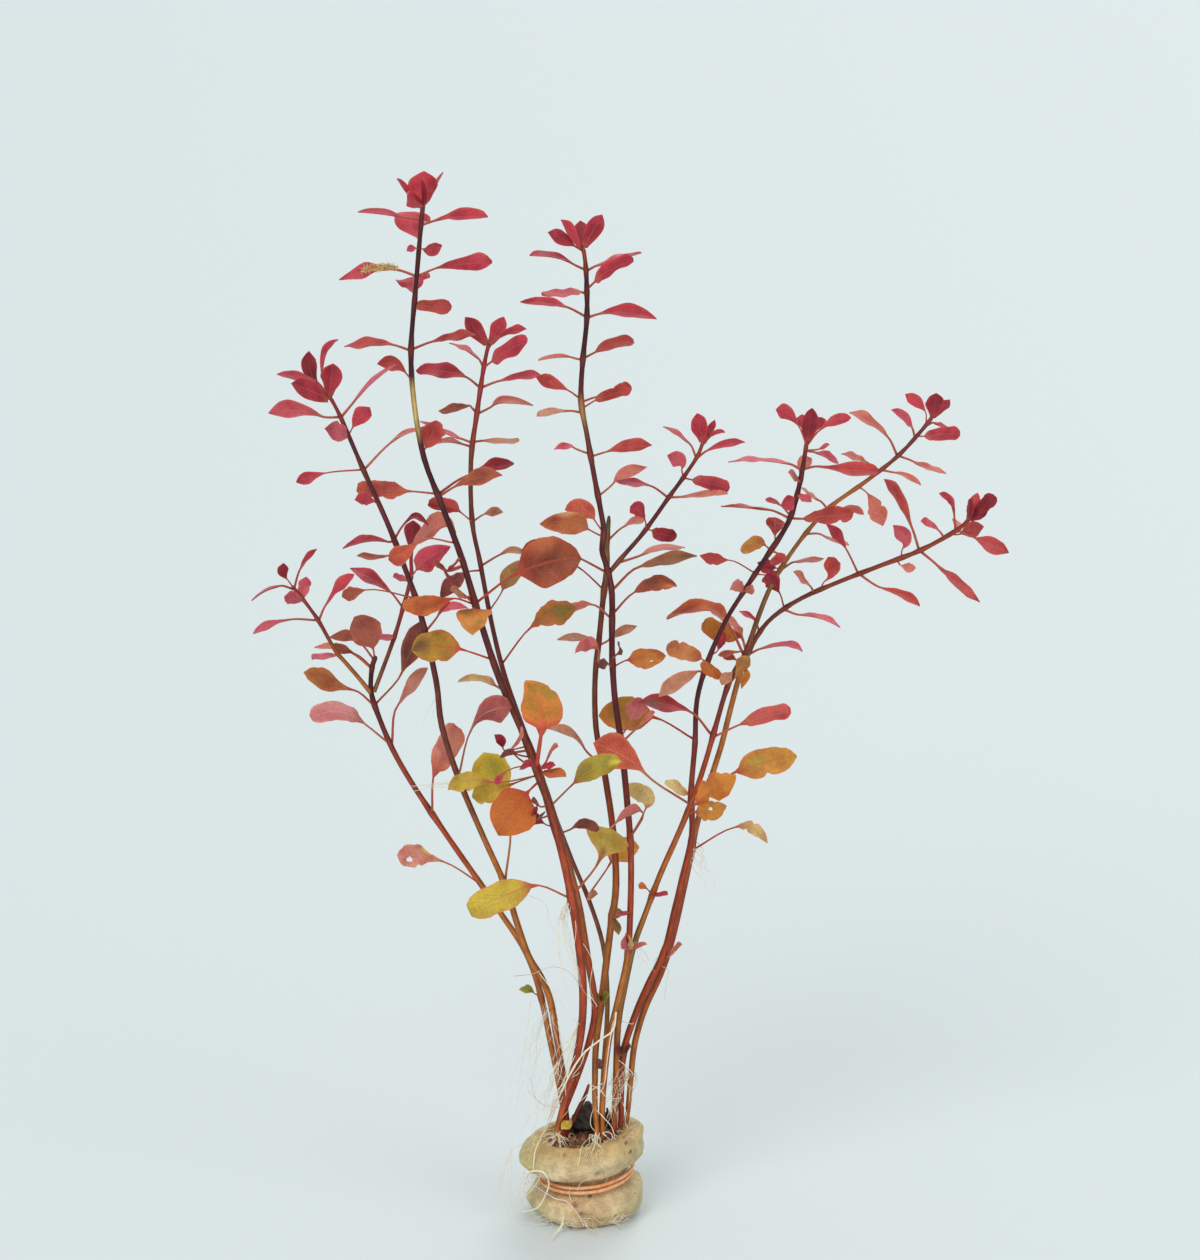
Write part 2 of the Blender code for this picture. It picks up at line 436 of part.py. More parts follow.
            blade((709, 785), (736, 772), (765, 762), (797, 756), 30, 1, "gold", "leaf_gold_right"),
            blade((760, 633), (756, 621), (750, 616), (739, 611), 6, -2, "crimson"),
            blade((749, 653), (760, 648), (785, 645), (802, 652), 4, 2, "pink"),
            blade((784, 609), (779, 592), (773, 582), (768, 570), 18, -5, "maroon"),
            blade((786, 610), (800, 614), (820, 617), (841, 626), 5, 3, "pink"),
            blade((815, 592), (810, 585), (803, 579), (796, 571), 6, 4, "salmon"),
            blade((820, 590), (825, 581), (832, 571), (828, 557), 17, -2, "red"),
            blade((859, 574), (846, 548), (838, 537), (826, 524), 11, 1, "crimson"),
            blade((860, 574), (881, 587), (898, 594), (920, 606), 10, 2, "red"),
            blade((901, 557), (903, 548), (905, 538), (893, 525), 15, -3, "pink"),
            blade((897, 561), (900, 565), (906, 567), (915, 568), 9, 3, "salmon"),
            blade((920, 550), (912, 526), (898, 500), (883, 480), 13, -1, "red"),
            blade((921, 551), (938, 565), (955, 582), (979, 603), 11, 1, "red"),
            blade((945, 538), (940, 531), (932, 525), (921, 521), 8, 2, "pink"),
            blade((956, 530), (955, 516), (951, 502), (940, 492), 8, -1, "crimson"),
            blade((950, 535), (960, 534), (970, 530), (985, 527), 15, -3, "red"),
            sprig((957, 532), (956, 519), 12, -4, "salmon"),
            blade((958, 531), (975, 538), (990, 544), (1009, 553), 16, 3, "red"),
            sprig((968, 521), (994, 496), 22, 1, "maroon"),
            sprig((968, 521), (978, 493), 9, -2, "crimson"),
        ),
    ),
    Shoot(
        "red_sprout",
        ((573, 1121), (579, 1108), (585, 1096), (589, 1084)),
        ((1121, -1.8), (1084, -3.2)),
        (4, 4.5, 4, 2.5),
        False, "",
        (),
    ),
)

# Roots, as sightings with their depth in millimetres
ROOTS = {
    "root_arch": ((616, 1012, -4.9), (613, 1030, -5.9), (600, 1040, -8.0), (585, 1052, -9.8),
                  (572, 1070, -9.4), (560, 1095, -6.4), (553, 1115, -3.0), (545, 1130, -1.0),
                  (539, 1142, -5.2), (535, 1152, -7.0), (533, 1170, -9.0)),
    "root_hanging": ((564, 904, -10.6), (560, 918, -11.2), (558, 940, -11.4), (561, 965, -11.6),
                     (568, 995, -11.8), (574, 1020, -11.8)),
    "root_left": ((531, 1000, 1.6), (527, 1030, 1.0), (521, 1070, 0.0), (516, 1110, -2.0),
                  (512, 1145, -4.0)),
    "root_loop": ((524, 1173, -6.4), (535, 1171, -9.4), (544, 1173, -10.6), (549, 1183, -10.2),
                  (545, 1196, -9.4), (537, 1208, -8.6), (521, 1212, -6.8)),
    "root_foot": ((564, 1217, -12.2), (562, 1224, -12.4), (559, 1229, -13.0), (555, 1234, -14.8),
                  (552, 1240, -17.6)),
}

# Foam rings from the underside up and down into the mouth: height, half width, half depth and
# shift, in millimetres, then the rise to the right, the rise to the back and the lumps
PLUG_RINGS = (
    (0.0, 9.6, 9.4, 0.1, 0.0, 0.0, 0.0),
    (0.9, 12.3, 11.4, 0.1, 0.0, 0.0, 0.015),
    (3.6, 14.0, 12.5, 0.2, 0.03, 0.0, 0.025),
    (6.5, 13.5, 12.0, 0.4, 0.08, 0.0, 0.02),
    (8.8, 9.9, 9.3, 0.5, 0.11, 0.0, 0.0),
    (11.6, 9.9, 9.3, 0.5, 0.11, 0.0, 0.0),
    (13.4, 13.3, 11.6, -0.2, 0.11, 0.01, 0.015),
    (15.7, 14.9, 12.6, -0.6, 0.12, 0.01, 0.025),
    (17.9, 14.8, 12.4, -0.5, 0.14, 0.03, 0.02),
    (19.7, 13.3, 10.8, 0.2, 0.15, 0.04, 0.01),
    (20.2, 11.4, 8.8, 1.2, 0.13, 0.02, 0.0),
    (18.5, 10.0, 7.3, 1.6, 0.0, 0.0, 0.0),
)
PLUG_SIDES = 18


def clear_scene():
    for old in list(bpy.data.objects):
        bpy.data.objects.remove(old, do_unlink=True)


def material_of(name, colour, roughness):
    """A plain surface finish of one colour."""
    finish = bpy.data.materials.new(name)
    finish.use_nodes = True
    shader = finish.node_tree.nodes["Principled BSDF"]
    shader.inputs["Base Color"].default_value = (*colour, 1.0)
    shader.inputs["Roughness"].default_value = roughness
    shader.inputs["Metallic"].default_value = 0.0
    return finish


def sighting(column, row, depth):
    """The point in space that is seen at this column and row, at a depth in metres along +Y."""
    forward = Vector((0.0, cos(VIEW_PITCH), -sin(VIEW_PITCH)))
    upward = Vector((0.0, sin(VIEW_PITCH), cos(VIEW_PITCH)))
    foot_right = (FOOT_SIGHTING[0] - PICTURE_CENTRE[0]) / FOCAL_PIXELS
    foot_down = (FOOT_SIGHTING[1] - PICTURE_CENTRE[1]) / FOCAL_PIXELS
    to_foot = forward + Vector((foot_right, 0.0, 0.0)) - foot_down * upward
    eye = -VIEW_DISTANCE * to_foot
    right = (column - PICTURE_CENTRE[0]) / FOCAL_PIXELS
    down = (row - PICTURE_CENTRE[1]) / FOCAL_PIXELS
    ray = forward + Vector((right, 0.0, 0.0)) - down * upward
    return eye + ray * ((depth - eye.y) / ray.y)


def value_at(table, key):
    """Reads a falling table of (key, value) pairs, with straight lines between them."""
    if key >= table[0][0]:
        return table[0][1]
    for (high, first), (low, second) in zip(table, table[1:]):
        if key >= low:
            return first + (second - first) * (high - key) / (high - low)
    return table[-1][1]


def shoot_axis(shoot):
    """The stem's centre line, as points and radii; a rooted stem starts on the plug's mouth floor."""
    points = [sighting(x, y, value_at(shoot.depths, y) * MM) for x, y in shoot.path]
    radii = [width * PIXEL / 2 for width in shoot.widths]
    if shoot.rooted:
        foot = Vector((*MOUTH_CENTRE, 0.0)) + 0.85 * (points[0] - Vector((*MOUTH_CENTRE, 0.0)))
        foot.z = PLUG_FLOOR_HEIGHT + GAP
        points.insert(0, foot)
        radii.insert(0, radii[0])
    return points, radii


def tube(name, points, radii, sides, closed=False):
    """A round tube through the points as a closed mesh, made from a bevelled curve."""
    curve = bpy.data.curves.new(name, "CURVE")
    curve.dimensions = "3D"
    curve.bevel_depth = 1.0
    curve.bevel_resolution = (sides - 4) // 2
    curve.use_fill_caps = not closed
    spline = curve.splines.new("POLY")
    spline.points.add(len(points) - 1)
    spline.use_cyclic_u = closed
    for knot, point, radius in zip(spline.points, points, radii):
        knot.co = (*point, 1.0)
        knot.radius = radius
    holder = bpy.data.objects.new(name + "_curve", curve)
    bpy.context.scene.collection.objects.link(holder)
    graph = bpy.context.evaluated_depsgraph_get()
    mesh = bpy.data.meshes.new_from_object(holder.evaluated_get(graph))
    bpy.data.objects.remove(holder, do_unlink=True)
    bpy.data.curves.remove(curve)
    mesh.name = name
    weld = bmesh.new()
    weld.from_mesh(mesh)
    bmesh.ops.remove_doubles(weld, verts=weld.verts, dist=0.00001)
    bmesh.ops.triangulate(weld, faces=weld.faces)
    bmesh.ops.recalc_face_normals(weld, faces=weld.faces)
    weld.to_mesh(mesh)
    weld.free()
    return bpy.data.objects.new(name, mesh)


def nearest_on_axis(shoot, place):
    """The column, row and depth of the stem's centre line nearest to a place in the picture."""
    best = None
    for (x0, y0), (x1, y1) in zip(shoot.path, shoot.path[1:]):
        run = (x1 - x0) ** 2 + (y1 - y0) ** 2
        along = ((place[0] - x0) * (x1 - x0) + (place[1] - y0) * (y1 - y0)) / run
        along = min(1.0, max(0.0, along))
        x = x0 + along * (x1 - x0)
        y = y0 + along * (y1 - y0)
        depth0 = value_at(shoot.depths, y0)
        depth1 = value_at(shoot.depths, y1)
        away = (place[0] - x) ** 2 + (place[1] - y) ** 2
        if best is None or away < best[0]:
            best = (away, x, y, depth0 + along * (depth1 - depth0))
    return best[1:]


def leaf_sections(shoot, leaf):
    """The leaf's root, its stations (centre and half width), its tip and its width direction."""
    x, y, depth = nearest_on_axis(shoot, leaf.base)
    marks = [(x, y), leaf.neck, leaf.middle, leaf.tip]
    steps = [sqrt((b[0] - a[0]) ** 2 + (b[1] - a[1]) ** 2) for a, b in zip(marks, marks[1:])]
    run = 0.0
    knots = [sighting(x, y, depth * MM)]
    for mark, step in zip(marks[1:], steps):
        run += step
        knots.append(sighting(*mark, (depth - LEAF_REACH * leaf.near * run / sum(steps)) * MM))
    root, neck, middle, tip = knots

    blade_length = (middle - neck).length + (tip - middle).length
    seen = leaf.seen * PIXEL
    wide = max(seen, LEAF_PROPORTION * blade_length)
    along = Vector((tip.x - root.x, 0.0, tip.z - root.z)).normalized()
    looking_down = VIEW_PITCH + atan((y - PICTURE_CENTRE[1]) / FOCAL_PIXELS)
    roll = acos(min(1.0, seen / wide)) + atan(abs(along.x) * tan(looking_down))
    upright = Vector((-along.z, 0.0, along.x))
    if upright.z < 0:
        upright = -upright
    across = cos(roll) * upright + sin(roll) * Vector((0.0, 1.0, 0.0))

    def on_blade(t):
        return (neck * (1 - t) * (1 - 2 * t) + middle * 4 * t * (1 - t) + tip * t * (2 * t - 1))

    stations = []
    if blade_length > SHORT_BLADE:
        stations.append((root, PETIOLE_WIDTH / 2))
        stations.append((neck, PETIOLE_WIDTH / 2))
    if leaf.name:
        stations.append((on_blade(0.20), wide * 0.37))
        stations.append((on_blade(0.46), wide * 0.50))
        stations.append((on_blade(0.76), wide * 0.38))
    elif blade_length > LONG_BLADE:
        stations.append((on_blade(0.36), wide * 0.46))
        stations.append((on_blade(0.70), wide * 0.40))
    else:
        stations.append((on_blade(0.50), wide * 0.50))
    return root, stations, tip, across


def close_to_point(build, ring, place):
    point = build.verts.new(place)
    for first, second in zip(ring, ring[1:] + ring[:1]):
        build.faces.new((first, second, point))


def leaf_mesh(name, shoot, leaf):
    """A leaf as a loft of three-cornered sections, flat on top with a rib below, to a point.

    A short leaf is one section between two points.
    """
    root, stations, tip, across = leaf_sections(shoot, leaf)
    centres = [root] + [station[0] for station in stations] + [tip]
    chord = (tip - root).normalized()
    rib = LEAF_THICKNESS if chord.cross(across).z < 0 else -LEAF_THICKNESS
    corners = []
    for index, (centre, half) in enumerate(stations):
        heading = (centres[index + 2] - centres[index]).normalized()
        side = (across - heading * across.dot(heading)).normalized()
        below = heading.cross(side) * rib
        corners.append((centre - side * half, centre + side * half, centre + below))
    build = bmesh.new()
    rings = [[build.verts.new(corner) for corner in ring] for ring in corners]
    if len(rings) > 1:
        build.faces.new(rings[0])
    else:
        close_to_point(build, rings[0], root)
    for lower, upper in zip(rings, rings[1:]):
        for k in range(3):
            after = (k + 1) % 3
            build.faces.new((lower[k], lower[after], upper[after], upper[k]))
    close_to_point(build, rings[-1], tip)
    bmesh.ops.triangulate(build, faces=build.faces)
    bmesh.ops.recalc_face_normals(build, faces=build.faces)
    mesh = bpy.data.meshes.new(name)
    build.to_mesh(mesh)
    build.free()
    return bpy.data.objects.new(name, mesh)


def make_helper(helper, collection):
    """Keeps an object as an operand of the Booleans, out of the finished bunch."""
    collection.objects.link(helper)
    helper.hide_render = True
    helper.display_type = "WIRE"


def add_boolean(piece, operation, operand):
    cut = piece.modifiers.new(operation.lower(), "BOOLEAN")
    cut.operation = operation
    cut.solver = "EXACT"
    if isinstance(operand, bpy.types.Collection):
        cut.operand_type = "COLLECTION"
        cut.collection = operand
    else:
        cut.object = operand


def finish_piece(piece, collection, colour, roughness):
    collection.objects.link(piece)
    piece.data.materials.clear()
    piece.data.materials.append(material_of(piece.name, colour, roughness))


def build_plug(collection):
    """The foam plug: one lofted body with two bulges, a waist and a mouth."""
    build = bmesh.new()
    rings = []
    for height, width, depth, shift, to_right, to_back, lumps in PLUG_RINGS:
        ring = []
        for k in range(PLUG_SIDES):
            turn = 2 * pi * k / PLUG_SIDES
            swell = 1 + lumps * (sin(3 * turn + height) + 0.7 * sin(5 * turn - 0.6 * height))
            x = (shift + width * swell * cos(turn)) * MM
            y = depth * swell * sin(turn) * MM
            ring.append(build.verts.new((x, y, height * MM + to_right * x + to_back * y)))
        rings.append(ring)
    for lower, upper in zip(rings, rings[1:]):
        for k in range(PLUG_SIDES):
            after = (k + 1) % PLUG_SIDES
            build.faces.new((lower[k], lower[after], upper[after], upper[k]))
    build.faces.new(list(reversed(rings[0])))
    build.faces.new(rings[-1])
    bmesh.ops.recalc_face_normals(build, faces=build.faces)
    mesh = bpy.data.meshes.new("foam_plug")
    build.to_mesh(mesh)
    build.free()
    mesh.shade_smooth()
    finish_piece(bpy.data.objects.new("foam_plug", mesh), collection, (0.52, 0.40, 0.22), 0.7)


def build_band(collection):
    """One rubber band wound twice round the waist, its two turns crossing once."""
    points = []
    steps = 30
    for k in range(steps):
        turn = 4 * pi * k / steps
        outward = BAND_THICKNESS / 2 + GAP + 0.55 * BAND_THICKNESS * (1 + sin(turn / 2 + 0.2))
        x = WAIST_SHIFT + (WAIST_HALF_WIDTH + outward) * cos(turn)
        y = (WAIST_HALF_DEPTH + outward) * sin(turn)
        z = WAIST_HEIGHT + WAIST_SLOPE * x + 0.6 * MM * cos(turn / 2 + 0.2)
        points.append(Vector((x, y, z)))
    band = tube("rubber_band", points, [BAND_THICKNESS / 2] * steps, 6, closed=True)
    finish_piece(band, collection, (0.80, 0.34, 0.13), 0.5)


def build_clump(collection):
    """The dark rotted stub of an old root, standing in the mouth among the stems."""
    bpy.ops.mesh.primitive_ico_sphere_add(subdivisions=2, radius=1.0)
    clump = bpy.context.object
    clump.name = "dark_clump"
    for old in list(clump.users_collection):
        old.objects.unlink(clump)
    for vertex in clump.data.vertices:
        x, y, z = vertex.co
        lump = 1 + 0.08 * sin(5 * x + 2 * z) + 0.06 * sin(7 * y - 3 * z)
        taper = 1 - 0.18 * z
        vertex.co = (
            (0.1 + 2.5 * x * lump * taper) * MM,
            (3.0 + 2.6 * y * lump * taper) * MM,
            (23.1 + 4.2 * z) * MM,
        )
    clump.data.shade_smooth()
    finish_piece(clump, collection, (0.03, 0.025, 0.02), 0.8)


def build_roots(collection):
    for name, marks in ROOTS.items():
        points = [sighting(x, y, depth * MM) for x, y, depth in marks]
        for point in points:
            point.z = max(point.z, ROOT_THICKNESS / 2 + 0.05 * MM)
        radii = [ROOT_THICKNESS / 2] * (len(points) - 1) + [ROOT_THICKNESS / 4]
        finish_piece(tube(name, points, radii, 4), collection, (0.72, 0.62, 0.45), 0.6)


def build_shoots(collection, helpers):
    """Each stem with the small leaves grown from it, and its large old leaves as pieces of their own."""
    spaces = {}
    for shoot in SHOOTS:
        points, radii = shoot_axis(shoot)
        space = tube("space_" + shoot.name, points, [radius + GAP for radius in radii], 6)
        make_helper(space, helpers)
        spaces[shoot.name] = space
    for shoot in SHOOTS:
        points, radii = shoot_axis(shoot)
        stem = tube(shoot.name, points, radii, 6)
        growth = bpy.data.collections.new("growth_of_" + shoot.name)
        helpers.children.link(growth)
        if shoot.parent:
            add_boolean(stem, "DIFFERENCE", spaces[shoot.parent])
        for number, leaf in enumerate(shoot.leaves):
            if leaf.name:
                old_leaf = leaf_mesh(leaf.name, shoot, leaf)
                add_boolean(old_leaf, "DIFFERENCE", spaces[shoot.name])
                finish_piece(old_leaf, collection, TONES[leaf.tone], 0.45)
            else:
                make_helper(leaf_mesh(f"{shoot.name}_leaf_{number}", shoot, leaf), growth)
        if len(growth.objects):
            add_boolean(stem, "UNION", growth)
        finish_piece(stem, collection, (0.24, 0.06, 0.03), 0.5)


def main():
    clear_scene()
    bunch = bpy.data.collections.new("ludwigia_repens_bunch")
    bpy.context.scene.collection.children.link(bunch)
    helpers = bpy.data.collections.new("cutters")
    bpy.context.scene.collection.children.link(helpers)
    build_plug(bunch)
    build_band(bunch)
    build_clump(bunch)
    build_shoots(bunch, helpers)
    build_roots(bunch)


main()
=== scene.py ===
"""The looks of a bunch of Ludwigia repens, held in a foam plug by a rubber band.

Every stem, leaf and root is modelled finely over the CAD solid it stands for. Stems and leaves
are placed by the same sightings as the solids: a sighting is a point (column, row) of a picture
1200 wide and 1260 high, and its depth, in millimetres along +Y, puts it in space.

Sizes and colours come first, then the tables of leaves, stems and roots, then what builds them.
Small unevenness is noise or drawn by random generators with fixed seeds.
"""

from collections import namedtuple
from math import acos, atan, cos, exp, pi, radians, sin, sqrt, tan
from random import Random
from zlib import crc32

import bpy
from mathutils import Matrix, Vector, noise


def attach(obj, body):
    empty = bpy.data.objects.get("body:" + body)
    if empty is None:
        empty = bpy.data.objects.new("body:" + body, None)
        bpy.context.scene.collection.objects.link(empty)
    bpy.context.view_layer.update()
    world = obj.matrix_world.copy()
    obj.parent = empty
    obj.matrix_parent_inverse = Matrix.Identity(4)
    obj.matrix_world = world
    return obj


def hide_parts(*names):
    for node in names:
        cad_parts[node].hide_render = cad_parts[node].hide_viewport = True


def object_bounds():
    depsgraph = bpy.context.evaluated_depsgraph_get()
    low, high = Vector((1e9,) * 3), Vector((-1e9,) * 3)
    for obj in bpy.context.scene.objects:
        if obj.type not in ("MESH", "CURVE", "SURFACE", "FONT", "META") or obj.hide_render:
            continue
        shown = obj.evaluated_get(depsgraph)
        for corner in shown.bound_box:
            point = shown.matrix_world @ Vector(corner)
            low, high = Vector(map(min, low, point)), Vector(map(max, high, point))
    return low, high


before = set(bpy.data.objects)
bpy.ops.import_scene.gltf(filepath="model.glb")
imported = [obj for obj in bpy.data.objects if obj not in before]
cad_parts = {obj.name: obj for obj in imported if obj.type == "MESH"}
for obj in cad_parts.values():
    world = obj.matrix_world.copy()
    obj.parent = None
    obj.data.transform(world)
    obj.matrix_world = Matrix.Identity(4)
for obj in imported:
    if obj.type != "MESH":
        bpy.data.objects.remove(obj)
cad_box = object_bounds()
# Unless it is told otherwise, Blender seeds its vector noise by the clock
noise.seed_set(1)

MM = 0.001
UPWARD = Vector((0.0, 0.0, 1.0))

# The view, as in the solids
VIEW_DISTANCE = 0.817
VIEW_PITCH = radians(17.9)
FOCAL_PIXELS = 3351.0
PICTURE_CENTRE = (600.0, 630.0)
PICTURE_HEIGHT = 1260.0
SENSOR = 36.0
FOOT_SIGHTING = (585.0, 1208.0)
PIXEL = VIEW_DISTANCE / FOCAL_PIXELS
GAP = 0.3 * MM

# Driving sizes shared with the solids
PLUG_FLOOR_HEIGHT = 18.5 * MM
WAIST_HALF_WIDTH = 9.9 * MM
WAIST_HALF_DEPTH = 9.3 * MM
WAIST_HEIGHT = 10.2 * MM
WAIST_SHIFT = 0.5 * MM
WAIST_SLOPE = 0.11
MOUTH_CENTRE = Vector((1.6 * MM, -0.3 * MM, 0.0))
FOOT_REACH = 0.85
BAND_THICKNESS = 0.9 * MM
LEAF_PROPORTION = 0.42
LEAF_REACH = 1.7
ROOT_THICKNESS = 0.6 * MM

# Fine leaves. A sprig's petiole and middle are shares of its length
SPRIG_NECK = 0.07
SPRIG_MIDDLE = 0.54
PETIOLE_HALF_WIDTH = 0.12 * MM
PETIOLE_SPREAD = 0.012
PETIOLE_PULL = 0.9
BLADE_THICKNESS = 0.16 * MM
MIDRIB_DEPTH = 0.34 * MM
GROOVE_DEPTH = 0.10 * MM
# One over the share of the blade in which the petiole turns into it
BLADE_ONSET = 6
PETIOLE_STEPS = 5
BLADE_STEPS = 15
ACROSS = (-1.0, -0.92, -0.74, -0.44, -0.17, 0.0, 0.17, 0.44, 0.74, 0.92, 1.0)
# Closer steps, for leaves with holes or very ragged edges
VERY_RAGGED = 0.2
CLOSE_STEPS = 24
CLOSE_ACROSS = tuple(k / 9.0 for k in range(-9, 10))
# The picture row above which leaves are young and whole
YOUNG_ROW = 430

# Fine stems
STEM_SIDES = 12
STEM_STEPS = 4
STEM_TIP = 0.6
STEM_UNEVENNESS = 0.05
# Painted shade on the stems: their fronts and backs drawn lighter, their sides darker
STEM_MOTTLE = 0.10
STEM_PAINTED_SHADE = 0.20
NODE_SWELL = 0.28
NODE_LENGTH = 1.1 * MM
NODE_REDNESS = 0.45

# The plug, the band and the rotted stubs
PLUG_SIDES = 144
PLUG_STEPS = 9
BAND_SIDES = 12
BAND_STEPS = 240
BAND_CROSSING = 0.2
BAND_CLIMB = 0.6 * MM
BAND_OVERLAP = 0.55 * BAND_THICKNESS
BAND_WAVER = 0.12 * MM
STUB_SIDES = 48
STUB_STEPS = 36
CRUST_CENTRE = (-0.4 * MM, -0.3 * MM)
CRUST_HALF_WIDTH = 9.2 * MM
CRUST_HALF_DEPTH = 7.8 * MM
CRUST_HEIGHT = 20.1 * MM
CRUST_RISE_RIGHT = 0.13
CRUST_RISE_BACK = 0.03
CRUST_SIDES = 96
CRUST_STEPS = 16
CRUST_STUBS = 150
RIM_ROOTS = 30

# Roots and algae
ROOT_SIDES = 8
ROOT_STEPS = 5
HAIR_SIDES = 5
ROOT_TAPER = 0.5
ROOT_CLEARANCE = 0.05 * MM
# How often a wandering root turns, how far before its middle it strays most, how loose its foot is
WANDER_PACE = 2.2
WANDER_LEAD = 0.15
WANDER_FOOT = 0.12
# How near a stem, in pixels, the end of a fine root is moved onto it
STEM_CATCH = 10.0
# The sighting of the tip of the leaf that carries the algae
ALGAE_LEAF = (338, 278)
ALGAE_THREADS = 420
ALGAE_RADIUS = 0.06 * MM

# Light and floor
SUN_ANGLE = radians(35)
SUNS = (
    ("key", (-0.55, -0.80, 1.0), 1.15, (1.0, 0.99, 0.96)),
    ("fill", (0.90, -0.50, 0.55), 0.45, (0.96, 0.98, 1.0)),
    ("back", (0.30, 0.90, 0.8), 0.75, (1.0, 1.0, 1.0)),
)
SKY_COLOUR = (0.93, 0.98, 1.0, 1.0)
SKY_STRENGTH = 0.62
FLOOR_COLOUR = (0.66, 0.72, 0.725, 1.0)
FLOOR_REACH = 6.0

# Colours are given as a screen shows them, from 0 to 255: first those of stems and petioles
STALK = (168, 80, 58)
KNOT = (146, 72, 54)
GREY_ROT = (104, 84, 62)
BLACK = (64, 27, 33)
MAROON = (92, 38, 40)
BROWN = (118, 64, 46)
RUSSET = (140, 62, 44)
BRICK = (156, 66, 40)
AMBER = (170, 102, 48)
OLIVE = (142, 106, 56)
YELLOW = (184, 154, 92)
CRIMSON = (158, 50, 56)
ROT = (96, 82, 60)
# Foam and band
FOAM_BEIGE = (210, 174, 128)
FOAM_PALE = (228, 204, 160)
FOAM_OLIVE = (192, 184, 132)
FOAM_OCHRE = (186, 150, 86)
FOAM_SHADE = (166, 128, 88)
RUST = (148, 92, 48)
SOOT = (84, 74, 56)
BAND_ORANGE = (244, 158, 96)
BAND_PALE = (252, 196, 146)
# Rotted stubs, roots and algae
CHAR = (36, 32, 30)
ASH = (88, 78, 66)
CREAM = (252, 232, 194)
PALE = (253, 244, 224)
DULL = (196, 158, 112)
BARK = (156, 96, 54)
SODDEN = (82, 50, 34)
ALGAE_YELLOW = (236, 202, 98)
ALGAE_BROWN = (196, 158, 70)

# Leaf colours: of the blade, of its patches, and of its rib and edge
Tone = namedtuple("Tone", "blade patch rib")
TONES = {
    "crimson": Tone((188, 62, 76), (156, 42, 58), (204, 104, 100)),
    "maroon": Tone((150, 44, 58), (114, 32, 44), (176, 74, 72)),
    "pink": Tone((206, 92, 106), (180, 66, 82), (214, 124, 118)),
    "red": Tone((186, 74, 70), (152, 54, 52), (206, 106, 86)),
    "brown": Tone((158, 86, 62), (126, 66, 52), (186, 96, 70)),
    "umber": Tone((124, 68, 58), (96, 52, 46), (160, 88, 70)),
    "salmon": Tone((208, 122, 108), (184, 94, 82), (212, 134, 108)),
    "orange": Tone((206, 120, 54), (178, 90, 46), (216, 92, 66)),
    "gold": Tone((206, 146, 64), (176, 114, 48), (208, 112, 76)),
    "yellow": Tone((210, 184, 72), (180, 154, 54), (212, 144, 92)),
    "straw": Tone((218, 194, 132), (198, 164, 100), (220, 150, 118)),
    "olive": Tone((152, 128, 60), (122, 98, 46), (184, 108, 72)),
    "tan": Tone((194, 142, 110), (168, 112, 80), (204, 112, 90)),
    "green": Tone((158, 164, 72), (134, 136, 56), (190, 140, 84)),
}
